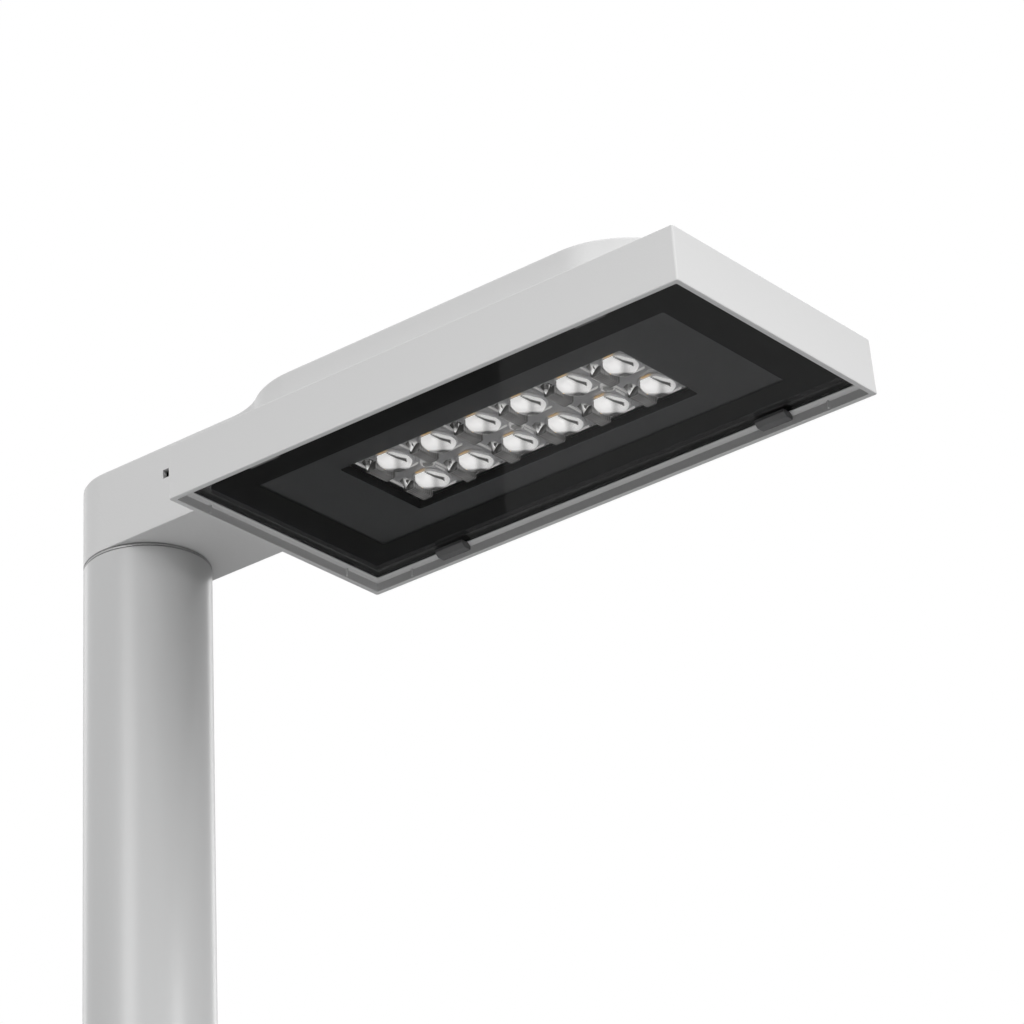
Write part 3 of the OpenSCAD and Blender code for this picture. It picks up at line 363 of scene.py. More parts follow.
finishes = {
    "powder_coat_pole": makeFinish("powder_coat_pole", (0.5, 0.502, 0.503), 0.3, patch=3, patchDepth=0.015,
                                   grain=420, grainDepth=0.02),
    "powder_coat_head": makeFinish("powder_coat_head", (0.62, 0.62, 0.62), 0.42, patch=4, patchDepth=0.012,
                                   grain=700, grainDepth=0.07),
    "galvanised": makeFinish("galvanised", (0.5, 0.51, 0.52), 0.45, metal=0.9, patch=90, patchDepth=0.14,
                             roughSpread=0.1, cells=True, grain=500, grainDepth=0.05),
    "steel": makeFinish("steel", (0.6, 0.6, 0.61), 0.34, metal=1.0, patch=30, grain=1500, grainDepth=0.01),
    "stainless": makeFinish("stainless", (0.68, 0.68, 0.67), 0.28, metal=1.0, patch=30, grain=1800,
                            grainDepth=0.01, stretch=(1, 1, 0.1)),
    "aluminium": makeFinish("aluminium", (0.72, 0.73, 0.74), 0.38, metal=1.0, patch=20, grain=1200,
                            grainDepth=0.02, stretch=(0.08, 1, 1)),
    "collar": makeFinish("collar", (0.4, 0.4, 0.4), 0.4, metal=0.3, patch=12, grain=1500, grainDepth=0.01,
                         stretch=(1, 1, 8)),
    "seal": makeFinish("seal", (0.03, 0.03, 0.03), 0.6, patch=40, patchDepth=0.2, grain=900, grainDepth=0.03),
    "clip": makeFinish("clip", (0.13, 0.13, 0.132), 0.36, patch=60, patchDepth=0.15, grain=1600, grainDepth=0.03),
    "mask": makeFinish("mask", (0.075, 0.077, 0.08), 0.5, patch=10, patchDepth=0.05, grain=900, grainDepth=0.03),
    "board": makeFinish("board", (0.72, 0.72, 0.7), 0.45, patch=50, patchDepth=0.03, grain=1500, grainDepth=0.01),
    "phosphor": makeFinish("phosphor", (0.85, 0.62, 0.1), 0.5, patch=300, patchDepth=0.06, grain=3000,
                           grainDepth=0.01),
    "gear": makeFinish("gear", (0.8, 0.8, 0.78), 0.45, patch=20, patchDepth=0.02, grain=1300, grainDepth=0.03),
    "surge": makeFinish("surge", (0.55, 0.09, 0.07), 0.42, patch=20, patchDepth=0.05, grain=1300, grainDepth=0.03),
    "black_plastic": makeFinish("black_plastic", (0.04, 0.04, 0.042), 0.4, patch=30, patchDepth=0.1, grain=1400,
                                grainDepth=0.03),
    "clear_plastic": makeFinish("clear_plastic", (0.62, 0.65, 0.68), 0.12, patch=20, patchDepth=0.03, grain=600,
                                grainDepth=0.005, sockets={"Transmission Weight": 0.7, "IOR": 1.58}),
    "ceramic": makeFinish("ceramic", (0.86, 0.85, 0.82), 0.2, patch=80, patchDepth=0.02, grain=900, grainDepth=0.004),
    "brass": makeFinish("brass", (0.72, 0.55, 0.25), 0.3, metal=1.0, patch=60, grain=1500, grainDepth=0.01),
    "cable": makeFinish("cable", (0.03, 0.03, 0.032), 0.5, patch=30, patchDepth=0.15, grain=1200, grainDepth=0.03),
    "earth_sheath": makeFinish("earth_sheath", (0.42, 0.55, 0.06), 0.42, patch=160, patchDepth=0.35,
                               grain=1200, grainDepth=0.02),
    "glass": makeFinish("glass", (0.985, 0.985, 0.985), 0.012, patch=6, patchDepth=0.01, roughSpread=0.008,
                        grain=3, grainDepth=0.002, sockets={"Transmission Weight": 1.0, "IOR": 1.5}),
    "lens": makeFinish("lens", (0.72, 0.72, 0.73), 0.08, patch=40, patchDepth=0.03, roughSpread=0.03,
                       grain=300, grainDepth=0.003, sockets={"Transmission Weight": 0.38, "IOR": 1.49}),
    "print": makeFinish("print", (0.006, 0.006, 0.0065), 0.4, patch=12, patchDepth=0.2, grain=900, grainDepth=0.005,
                        sockets={"Specular IOR Level": 0.12}),
    # The dome finish glows: painted light that stands in for the bright look of the optic, which is no lamp
    "dome": makeFinish("dome", (0.95, 0.95, 0.95), 0.12, patch=60, patchDepth=0.02, roughSpread=0.04,
                       grain=120, grainDepth=0.01, sockets={"Coat Weight": 1.0, "Coat Roughness": 0.03,
                                                           "Emission Strength": 0.72}),
    # A painted glint: an amber glow that stands in for the LED's light seen in the optic
    "painted_glint": makeFinish("painted_glint", (0.9, 0.62, 0.18), 0.3, patch=200, patchDepth=0.1, grain=900, grainDepth=0.005,
                        sockets={"Emission Color": (1, 0.6, 0.14, 1), "Emission Strength": 0.9}),
}

# The two ends of the optics' painted light and shade: the darkest and the lightest colour and glow
domeShades = {"dark": (0.03, 0.029, 0.028, 1), "light": (0.97, 0.962, 0.955, 1)}


def paintDomeLight(mat):
    # The mesh's attribute of painted light and shade, from 0 to 1, runs between two shades of both the colour and the
    # glow. It is painted light that stands in for light bent inside the optic, and is fixed to the mesh.
    t = mat.node_tree
    shader = t.nodes["Principled BSDF"]
    painted_light = nodeAt(t, "ShaderNodeAttribute", attribute_name="painted_light")
    shade = nodeAt(t, "ShaderNodeMix", data_type="RGBA")
    shade.inputs[6].default_value, shade.inputs[7].default_value = domeShades["dark"], domeShades["light"]
    t.links.new(painted_light.outputs["Fac"], shade.inputs[0])
    t.links.new(shade.outputs[2], shader.inputs["Base Color"])
    t.links.new(shade.outputs[2], shader.inputs["Emission Color"])


paintDomeLight(finishes["dome"])

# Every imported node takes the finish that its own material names
for obj in nodes.values():
    for slot in obj.material_slots:
        finish = slot.material.name.split(".")[0] if slot.material else ""
        if finish in finishes:
            slot.material = finishes[finish]
print("finishes made:", len(finishes))


# The arm and gear housing

arm = {"wall": 4 * mm, "floor": 6 * mm, "topEdge": 2.2 * mm, "lowEdge": 0.8 * mm, "flareStart": 3.5 * mm,
       "flareLength": 80 * mm, "flareR": 62 * mm, "slotX": 69 * mm, "slotW": 6.3 * mm, "slotH": 7.4 * mm,
       "slotUp": 43 * mm, "bulkhead": 4 * mm, "rim": 0.25 * mm, "backSteps": 30, "hollowSteps": 14,
       "bulgeSteps": 18, "frontSteps": 44}


def housingOutline(inset, straightXs, beyond=True):
    # Half of the plan, from the back of the arm to the front of the housing: a quarter circle,
    # a straight, a hollow arc, a bulging arc, a straight and a quarter circle, all stepped in
    humpR = high("arm_casting")[1]
    humpC = high("arm_casting")[0] - humpR
    flareX = headBack + arm["flareStart"]
    humpX = flareX + arm["flareLength"]
    bend = 2 * math.atan((humpR - poleR) / arm["flareLength"])
    outerR = arm["flareLength"] / math.sin(bend) - arm["flareR"]

    def arc(cx, cy, r, a0, a1, n):
        a = np.linspace(a0, a1, n + 1)
        return np.stack([cx + r * np.cos(a), cy + r * np.sin(a)], -1)

    quarter = math.pi / 2
    parts = [arc(0, 0, poleR - inset, 2 * quarter, quarter, arm["backSteps"])[:-1],
             np.stack([straightXs, np.full(len(straightXs), poleR - inset)], -1)]
    if beyond:
        parts += [arc(flareX, poleR + arm["flareR"], arm["flareR"] + inset, -quarter, bend - quarter,
                      arm["hollowSteps"]),
                  arc(humpX, humpR - outerR, outerR - inset, bend + quarter, quarter, arm["bulgeSteps"]),
                  arc(humpC, 0, humpR - inset, quarter, 0, arm["frontSteps"])]
    return np.concatenate(parts)


def buildArm():
    slotA, slotB = arm["slotX"] - arm["slotW"] / 2, arm["slotX"] + arm["slotW"] / 2
    slotZ = armLow + arm["slotUp"]
    slotLow, slotHigh = slotZ - arm["slotH"] / 2, slotZ + arm["slotH"] / 2
    xs = np.array([0, slotA, slotB, headBack, headBack])
    slotStation = arm["backSteps"] + 1  # the straight's second station, where the slot starts
    step = arm["backSteps"] + 4  # the second station at the back of the head
    topR, lowR, rim = arm["topEdge"], arm["lowEdge"], arm["rim"]

    def loops(rows, xs, bottomOf, beyond):
        # Rows of (inset, height worked out from the bottom's level); a True puts the row on the middle line
        grid = []
        for inset, zRule, *middle in rows:
            half = housingOutline(inset, xs, beyond)
            y = half[:, 1] * (0 if middle else 1)
            base = bottomOf(np.arange(len(half)))
            grid.append(np.stack([half[:, 0], y, zRule(base)], -1))
        return np.stack(grid, 1)

    def outerBottom(i):
        return np.where(i < step, armLow, trayTop)

    rows = [(lowR + rim, lambda b: b, True), (lowR + rim, lambda b: b)]
    rows += [(along, lambda b, up=up: b + up) for along, up in fillet(lowR, 3, 90, 0)]
    levels = (armLow + lowR + rim, trayTop, slotLow, slotHigh, armTop - topR - rim)
    rows += [(0, lambda b, z=z: np.maximum(z, b + lowR)) for z in levels]
    rows += [(along, lambda b, up=up: np.full(b.shape, armTop - up)) for along, up in fillet(topR, 6, 0, 90)]
    rows += [(topR + rim, lambda b: np.full(b.shape, armTop), *end) for end in ((), (True,))]
    half = loops(rows, xs, outerBottom, True)
    slotRow = [k for k in range(len(rows) - 1) if abs(half[slotStation, k, 2] - slotLow) < 1e-7][0]
    nu, nv = half.shape[:2]
    skip = np.zeros((nu - 1, nv - 1), bool)
    skip[slotStation, slotRow] = True
    flipY = np.array([1, -1, 1])
    parts = [(half, gridFaces(nu, nv)), (half * flipY, gridFaces(nu, nv, flip=True, skip=skip))]
    # The hollow of the arm, closed by the bulkhead
    wall, roof = arm["wall"], armTop - arm["wall"]
    inner = [(wall, lambda b: b, True), (wall, lambda b: b)]
    inner += [(wall, lambda b, z=z: np.full(b.shape, z)) for z in (slotLow, slotHigh, roof)]
    inner += [(wall, lambda b: np.full(b.shape, roof), True)]

    def innerBottom(i):
        return np.full(i.shape, armLow + arm["floor"])

    hollow = loops(inner, np.array([0, slotA, slotB, headBack - arm["bulkhead"]]), innerBottom, False)
    end = hollow[-1:] * np.array([1, 0, 1])
    hollow = np.concatenate([hollow, end])
    hu, hv = hollow.shape[:2]
    skip = np.zeros((hu - 1, hv - 1), bool)
    skip[slotStation, 2] = True  # the third inner row starts at the slot's lower side
    parts += [(hollow, gridFaces(hu, hv, flip=True)), (hollow * flipY, gridFaces(hu, hv, skip=skip))]
    # The slot's four sides
    corners = np.array([[slotA, slotLow], [slotB, slotLow], [slotB, slotHigh], [slotA, slotHigh]])
    sides = np.stack([np.stack([corners[:, 0], np.full(4, y), corners[:, 1]], -1)
                      for y in (-poleR, wall - poleR)])
    parts.append((sides, gridFaces(2, 4, wrapV=True)))
    return makeMesh("arm_shell", parts, 25)


makePiece("arm_shell", buildArm(), "head", [finishes["powder_coat_head"]], ["arm_casting"])
print("arm built")


# The head's tray

tray = {"frontLean": 2.5 * mm, "sideLean": 1.1 * mm, "lip": 4.5 * mm, "plain": 7.3 * mm,
        "ledge": (3.5 * mm, 2.5 * mm), "topEdge": 0.9 * mm, "lipEdge": 0.8 * mm, "innerEdge": 0.5 * mm,
        "corner": 1.6 * mm, "innerCorner": 1.2 * mm, "seat": 6 * mm, "plate": 4 * mm, "rim": 0.2 * mm,
        "nibR": 1.25 * mm, "nibIn": 41 * mm, "nibUp": 1.5 * mm,
        "pillarR": 5 * mm, "pillarEdge": 0.4 * mm, "pillarFoot": 1 * mm, "pillarIn": (12 * mm, 20 * mm),
        "padCorner": 1 * mm}


def buildTray():
    height = trayTop - rimZ

    def ring(inset, z, corner, lean=True):
        t = (z - rimZ) / height if lean else 0
        side, front = inset + tray["sideLean"] * t, inset + tray["frontLean"] * t
        return roundedRing(headBack + inset, headFront - front, -headR + side, headR - side, corner, z)

    r, rim = tray["topEdge"], tray["rim"]
    rings = [ring(r + rim, trayTop, tray["corner"])]
    rings += [ring(along, trayTop - up, tray["corner"]) for along, up in fillet(r, 4, 90, 0)]
    r = tray["lipEdge"]
    rings += [ring(0, trayTop - tray["topEdge"] - rim, tray["corner"]), ring(0, rimZ + r + rim, tray["corner"])]
    rings += [ring(along, rimZ + up, tray["corner"], False) for along, up in fillet(r, 4, 0, 90)]
    rings += [ring(r + rim, rimZ, tray["corner"], False)]
    lip, r, c = tray["lip"], tray["innerEdge"], tray["innerCorner"]
    rings += [ring(lip - r - rim, rimZ, c, False)]
    rings += [ring(lip - along, rimZ + up, c, False) for along, up in fillet(r, 3, 90, 0)]
    ledgeZ = rimZ + tray["plain"]
    into, upto = tray["ledge"]
    pocket = lip + into
    cavity = pocket + tray["seat"]
    seatZ = high("glass_gasket")[2]
    rings += [ring(lip, rimZ + r + rim, c, False), ring(lip, ledgeZ - rim, c, False), ring(lip, ledgeZ, c, False),
              ring(lip + rim, ledgeZ + rim * upto / into, c, False),
              ring(pocket - rim, ledgeZ + upto - rim * upto / into, c, False), ring(pocket, ledgeZ + upto, c, False),
              ring(pocket, seatZ, c, False), ring(cavity, seatZ, c, False),
              ring(cavity, trayTop - tray["plate"], c, False)]
    parts = [stackRings(rings, capFirst=True, capLast=True, flip=True)]
    # Half-round nibs on the lip's inner wall, with domed ends
    n, nh = tray["nibR"], tray["plain"] + tray["ledge"][1] - tray["nibUp"]
    nib = [(0, 0), (n * 0.5, 0.12 * mm), (n * 0.85, 0.5 * mm), (n, 1.1 * mm), (n, nh - 0.4 * mm),
           (n * 0.8, nh), (0, nh)]
    for s in (-1, 1):
        spots = [(headBack + tray["nibIn"], s * (headR - lip)), (headFront - tray["nibIn"], s * (headR - lip)),
                 (headBack + lip, s * (headR - tray["nibIn"])), (headFront - lip, s * (headR - tray["nibIn"]))]
        parts += [lathe(nib, (x, y, rimZ + tray["nibUp"]), 20) for x, y in spots]
    # Pillars for the mask plate, and the pad that the heat spreader is bolted to
    ceiling = trayTop - tray["plate"]
    p, edge, foot = tray["pillarR"], tray["pillarEdge"], tray["pillarFoot"]
    pillar = [(0, maskB[2]), (p - edge, maskB[2]), (p, maskB[2] + edge), (p, ceiling - foot),
              (p + foot, ceiling), (0, ceiling)]
    endGap, sideGap = tray["pillarIn"]
    for x in (headBack + (cavity + endGap), headX, headFront - (cavity + endGap)):
        parts += [lathe(pillar, (x, s * (headR - cavity - sideGap), 0), 28) for s in (-1, 1)]
    a, b = low("heat_spreader"), high("heat_spreader")
    pad = [roundedRing(a[0], b[0], a[1], b[1], tray["padCorner"], z) for z in (b[2], ceiling)]
    parts.append(stackRings(pad, True, True))
    return makeMesh("tray_shell", parts, 28)


makePiece("tray_shell", buildTray(), "head", [finishes["powder_coat_head"]], ["tray_housing"])
print("tray built")


# Glass, printed border, clips and mask

glass = {"edge": 0.6 * mm, "corner": 1.2 * mm, "rim": 0.2 * mm, "opening": (389.5 * mm, 143 * mm),
         "openingR": 1.5 * mm, "printFrom": 0.02 * mm, "printTo": 0.12 * mm, "printIn": 0.3 * mm}


def glassRing(inset, z):
    return roundedRing(glassA[0] + inset, glassB[0] - inset, glassA[1] + inset, glassB[1] - inset,
                       glass["corner"], z)


def buildGlass():
    # A pane with chamfered edges: the two caps are clear, and the edge between them is dark
    e, z0, z1 = glass["edge"], glassA[2], glassB[2]
    flat = e + glass["rim"]
    rings = [glassRing(inset, z)
             for inset, z in ((flat, z0), (e, z0), (0, z0 + e), (0, z1 - e), (e, z1), (flat, z1))]
    points, faces = stackRings(rings, True, True)
    wide = [f for f in faces if len(f) > 4]
    edge = [f for f in faces if len(f) == 4]
    return makeMesh("glass_pane", [(points, wide, 0), (points, edge, 1)], 30)


def buildPrint():
    # A thin frame on the glass's upper face
    w, h = glass["opening"]
    z0, z1 = glassB[2] + glass["printFrom"], glassB[2] + glass["printTo"]
    into = glass["printIn"]

    def inner(z):
        return roundedRing(headX - w / 2, headX + w / 2, -h / 2, h / 2, glass["openingR"], z)

    rings = [glassRing(into, z0), inner(z0), inner(z1), glassRing(into, z1)]
    return makeMesh("print_border", [stackRings(rings, close=True)], 30)


mask = {"window": (270 * mm, 92 * mm), "windowR": 1 * mm, "wall": 1.0 * mm, "fold": 0.8 * mm, "edge": 0.3 * mm,
        "corner": 1.5 * mm, "rim": 0.2 * mm}


def buildMask():
    # The plate's lower face folds up round the window and reaches the lens plates. The fold's upper part and the wall
    # above it take the near-black print finish as painted shade, and the rest has the plate's own finish.
    w, h = mask["window"]
    z0, z1 = maskA[2], maskB[2]
    top, t, r, rim = low("lens_module_1")[2] + lensRise, mask["wall"], mask["fold"], mask["rim"]

    def window(grow, z):
        return roundedRing(headX - w / 2 - grow, headX + w / 2 + grow, -h / 2 - grow, h / 2 + grow,
                           mask["windowR"] + grow, z)

    def outer(inset, z):
        return roundedRing(maskA[0] + inset, maskB[0] - inset, maskA[1] + inset, maskB[1] - inset,
                           mask["corner"], z)

    rings = [outer(0, z1), outer(0, z0 + mask["edge"]), outer(mask["edge"], z0)]
    rings += [window(r + rim, z0)] + [window(along, z0 + up) for along, up in fillet(r, 4, 90, 0)]
    rings += [window(0, z0 + r + rim), window(0, top), window(t, top), window(t, z1)]
    points, faces = stackRings(rings, close=True)
    n = points.shape[1]
    firstDark, lastDark = 6, 10  # rings, counted from 0
    inside = [firstDark * n <= min(f) and max(f) < (lastDark + 1) * n for f in faces]
    return makeMesh("mask_sheet", [(points, [f for f, w in zip(faces, inside) if not w], 0),
                                   (points, [f for f, w in zip(faces, inside) if w], 1)], 30)


clip = {"length": 27.5 * mm, "spread": 313 * mm, "reach": 7 * mm, "tongue": 2 * mm, "edge": 0.3 * mm,
        "drop": 5.8 * mm, "nose": (3 * mm, 2.4 * mm), "step": 1 * mm, "under": 1.8 * mm}


def buildClips():
    # The clip's outline across the rim, carried along the rim, with its ends drawn in
    wall = headR - tray["lip"]
    tip = headR - tray["lip"] - tray["ledge"][0] - clip["reach"]
    top, bottom = glassA[2], glassA[2] - clip["drop"]
    half, e = clip["length"] / 2, clip["edge"]
    (noseIn, noseUp), step, under, far = clip["nose"], clip["step"], clip["under"], wall + clip["tongue"]
    section = np.array([[tip, top], [tip, top - noseUp], [tip + noseIn, bottom], [wall - e, bottom],
                        [wall, bottom + e], [wall, bottom + step], [far, bottom + step],
                        [far, top - under], [wall, top - under], [wall, top]])
    middle = section.mean(0)
    parts = []
    for s in (-1, 1):
        for side in (-1, 1):
            at = headX + side * clip["spread"] / 2
            loops = []
            for x, shrink in ((-half, e), (-half + e, 0), (half - e, 0), (half, e)):
                size = np.maximum(np.abs(section - middle) - shrink, 0) * np.sign(section - middle) + middle
                loops.append(np.stack([np.full(len(size), at + x), s * size[:, 0], size[:, 1]], -1))
            parts.append(stackRings(loops, True, True, flip=s < 0))
    return makeMesh("rim_clips", parts, 30)


makePiece("glass_pane", buildGlass(), "head", [finishes["glass"], finishes["print"]], ["glass_panel"])
makePiece("print_border", buildPrint(), "head", [finishes["print"]])
# The mask's second finish, print, paints shade on the window's walls
makePiece("mask_sheet", buildMask(), "head", [finishes["mask"], finishes["print"]], ["mask_plate"])
makePiece("rim_clips", buildClips(), "head", [finishes["clip"]], ["glass_clips"])
print("glass, mask and clips built")


# Lens arrays

# The dome's crease and its painted light and shade run along three fixed directions of the head: across, towards and
# the slope between towards and down. They are the main view's own level, depth and height directions at rest, written
# as numbers, so the pattern stays on the dome and looks most like the real optic from that view.
lens = {"pitch": 43.7 * mm, "width": 87 * mm, "corner": 1.5 * mm, "edge": 0.5 * mm, "plate": 2 * mm,
        "skirt": 1.5 * mm, "wall": 2 * mm, "rise": lensRise, "into": 0.3 * mm,
        "dome": (12.6 * mm, 15.5 * mm), "flats": (((0, -1), 14.4 * mm), ((0.94, -0.34), 11.8 * mm)),
        "depth": 8.4 * mm, "roundness": 2.6, "offset": (6.5 * mm, 0.9 * mm), "around": 72, "rings": 38,
        "across": (0.78, 0.626), "towards": (0.625, -0.78), "slope": (0.443, 0.896),
        "crease": {"level": 4.9 * mm, "fall": 4.8 * mm, "start": -6.7 * mm, "length": 3.3 * mm,
                   "half": (0.45 * mm, 0.4 * mm), "ends": (-8.5 * mm, 9.6 * mm), "from": 1 * mm, "sink": 0.025},
        "flange": 2.6 * mm, "flangeUp": 1.8 * mm,
        "boss": (4.6 * mm, 6.0 * mm, 2.4 * mm), "line": 0.4 * mm, "lineDrop": 1.2 * mm, "linePaintedLight": 0.42,
        "unitLines": (((2.2, 19), (15.6, 18.1)), ((-18.2, -18.6), (-18.2, -3.9))),
        "plateLines": (((0.2, -20), (0.2, -9)), ((0.2, 9), (0.2, 20)), ((-40.4, -20), (-40.4, 19.6)))}
prism = {"x": (-16.4 * mm, -6.9 * mm), "y": (-5.5 * mm, 17.5 * mm), "depth": 6.9 * mm, "ribs": 10,
         "rib": 0.6 * mm, "ribPaintedLight": 0.17, "rowPaintedLight": (0.4, 0.7, 1.0, 1.15, 0.6, 0.3)}
corner = {"foot": ((-16.6, -6.4), (-15.8, -11.4), (-10.6, -13.6), (-7.0, -12.0), (-6.6, -7.2), (-10.2, -4.9)),
          "points": (((-13.2, -7.6), 6.2, 1.0), ((-8.6, -9.8), 4.6, 0.55)),
          "painted_lights": (0.0, 0.14, 0.0, 0.9, 0.0, 0.06)}


def ridge(start, end):
    # A rounded rib along a straight line, hanging from the plate: a half circle on two straight legs
    r, drop = lens["line"], lens["lineDrop"]
    a, b = np.array(start) * mm, np.array(end) * mm
    along = (b - a) / np.linalg.norm(b - a)
    across = np.array([-along[1], along[0]])
    t = np.linspace(0, math.pi, 7)
    loops = []
    for spot, size in ((a, 0.3), (a + along * r, 1), (b - along * r, 1), (b, 0.3)):
        flat = spot + np.cos(t)[:, None] * r * size * across
        arc = np.concatenate([flat, (-drop - np.sin(t) * r * size)[:, None]], -1)
        loops.append(np.concatenate([[[*flat[0], lens["into"]]], arc, [[*flat[-1], lens["into"]]]]))
    return stackRings(loops, True, True)


def softStep(x):
    # 0 below 0, 1 above 1, and 3 x squared less 2 x cubed between
    x = np.clip(x, 0, 1)
    return x * x * (3 - 2 * x)


def lensDome():
    # The plan is an ellipse with two flats. The drop below the plate is the depth times the root of
    # (1 - t to the power 2.6), for t from the middle to the edge. On the half that lies towards, a groove
    # follows a line whose drop grows to a level: level - fall * exp(-(across - start) / length).
    n = lens["around"]
    a = np.arange(n) / n * tau
    rx, ry = lens["dome"]
    outline = 1 / np.sqrt((np.cos(a) / rx) ** 2 + (np.sin(a) / ry) ** 2)
    for (fx, fy), reach in lens["flats"]:
        lean = np.maximum(np.cos(a) * fx + np.sin(a) * fy, 0.2)
        outline = np.minimum(outline, reach / lean)
    edge = np.stack([outline * np.cos(a), outline * np.sin(a)], -1)
    t = 1 - (1 - np.linspace(0, 1, lens["rings"] + 1)) ** 2
    flat = edge[None] * t[:, None, None]
    drop = lens["depth"] * np.sqrt(1 - t ** lens["roundness"])[:, None] + 0 * a
    across, towards = flat @ np.array(lens["across"]), flat @ np.array(lens["towards"])
    c = lens["crease"]
    line = c["level"] - c["fall"] * np.exp(-(across - c["start"]) / c["length"])
    half = c["half"][0] + c["half"][1] * np.clip((across + 6 * mm) / (15 * mm), 0, 1)
    near = (towards > c["from"]) & (across > c["ends"][0]) & (across < c["ends"][1])
    crease = near * (1 - softStep((np.abs(drop - line) - half) / (0.3 * mm) + 0.5))
    flat = flat * (1 - c["sink"] * crease[..., None])
    # Painted light and shade: light, with a painted grey fold near the middle of across; painted shade above the
    # groove's line, greyer towards the plate; painted shade where the height on the slope is lowest, past the low end
    # of across, and in the groove
    height = lens["slope"][0] * towards - lens["slope"][1] * drop
    fold = 0.5 * np.exp(-((across - 3.0 * mm) / (3.0 * mm)) ** 2)
    painted_light = 1 - fold - 0.12 * softStep((across - 3 * mm) / (4 * mm))
    above = (towards > c["from"]) & (drop < line)
    nearPlate, behind = softStep(1 - drop / (2.2 * mm)), softStep((2 * mm - across) / (8 * mm))
    painted_light = np.where(above, 0.82 - 0.25 * nearPlate - 0.2 * behind, painted_light)
    painted_light = painted_light - 0.8 * softStep((-height - 6.8 * mm) / (2.2 * mm))
    painted_light = np.where(across < -12.7 * mm, 0.12, painted_light)
    painted_light = np.clip(painted_light, 0.05, 1) * (1 - crease) + 0.05 * crease
    # Painted glints that glow amber: a thin strip along the first flat, beside the plate, and one small spot
    painted_glint = (drop < 1.25 * mm) & (edge[:, 1] < -0.985 * lens["flats"][0][1])
    painted_glint |= (np.abs(across + 8.4 * mm) < 1.5 * mm) & (np.abs(height + 8.5 * mm) < 0.6 * mm) & (towards < 0)
    grid = np.concatenate([flat + np.array(lens["offset"]), -drop[..., None]], -1)
    grid = np.concatenate([grid, grid[-1:] + (0, 0, lens["into"])])
    painted_light = np.concatenate([painted_light, np.full((1, n), 0.35)])
    cap = [list(range((len(grid) - 1) * n, len(grid) * n))]
    return [(grid, gridFaces(len(grid), n, wrapV=True, skip=painted_glint) + cap, 1, painted_light),
            (grid, gridFaces(len(grid), n, wrapV=True, skip=~painted_glint), 2, painted_light)], edge, outline, a


def lensUnit():
    # One optic, with the plate's lower face at height 0 and the optic hanging below it
    parts, edge, outline, a = lensDome()
    offset = np.array(lens["offset"])
    # The clear flange, wider on the side away from the pole
    spread = lens["flange"] * (0.35 + 0.65 * np.maximum(np.cos(a), 0))
    wide = (edge / outline[:, None]) * (outline + spread)[:, None]
    up, into = lens["flangeUp"], lens["into"]
    rings = [(edge * 0.97, -into), (edge * 0.985, up), (wide * 0.96, up * 0.9), (wide, up * 0.6), (wide, -into)]
    grid = np.stack([np.concatenate([flat + offset, np.full((len(a), 1), -w)], -1) for flat, w in rings])
    parts.append((grid, gridFaces(5, len(a), wrapU=True, wrapV=True), 0))
    # The prism beside the dome: a section carried along y, its lower face cut into saw-tooth ribs, with painted light
    # and shade on the ribs
    (x0, x1), depth = prism["x"], prism["depth"]
    v = np.repeat(np.linspace(*prism["y"], prism["ribs"] + 1), 2)[1:-1]
    v = v + np.tile([0, -0.25 * mm], prism["ribs"])
    tooth = np.tile([0, prism["rib"]], prism["ribs"])
    section = [(x1, -into, 0), (x1, depth - 1.6 * mm, 0), (x1 - 0.9 * mm, depth - 0.4 * mm, 1),
               (x0 + 1.1 * mm, depth, 1), (x0, depth - 1.2 * mm, 0), (x0, -into, 0)]
    loops = np.stack([np.stack([np.full(len(v), x), v, -w + tooth * k], -1) for x, w, k in section], 1)
    # Painted light and shade on the prism: every other point of the ribs is lit and the rest dark, the section's rows
    # differ, and it is brightest part way along
    along = np.linspace(0, 1, len(v))
    shade = np.where(tooth > 0, prism["ribPaintedLight"], 0.0)[:, None] * np.array(prism["rowPaintedLight"])
    shade = shade * (0.8 + 0.5 * np.exp(-((along - 0.62) / 0.2) ** 2))[:, None]
    parts.append((*stackRings(list(loops), True, True), 1, shade))
    # The cut corner between the prism and the dome: leaning facets round a point, with painted shade and painted
    # highlights by turns
    foot = np.array(corner["foot"]) * mm
    for centre, depth, size in corner["points"]:
        tip = np.array([*centre, -depth]) * mm
        base = np.concatenate([(foot - tip[:2]) * size + tip[:2], np.full((6, 1), into)], -1)
        middle = base * (0.45, 0.45, 0) + tip * (0.55, 0.55, 0.45)
        for k in range(6):
            m = (k + 1) % 6
            facet = np.stack([base[k], base[m], middle[m], middle[k], tip])
            light = np.array([0.5, 0.5, 1, 1, 1.4]) * corner["painted_lights"][k]
            parts.append((facet, [[0, 1, 2, 3], [3, 2, 4]], 1, light))
        parts.append((base, [[5, 4, 3, 2, 1, 0]], 1, np.zeros(6)))
    # Thin ribs on the plate, with a grey painted light that glows a little
    for start, end in lens["unitLines"]:
        points, faces = ridge(start, end)
        parts.append((points, faces, 1, np.full(points.shape[:2], lens["linePaintedLight"])))
    return parts


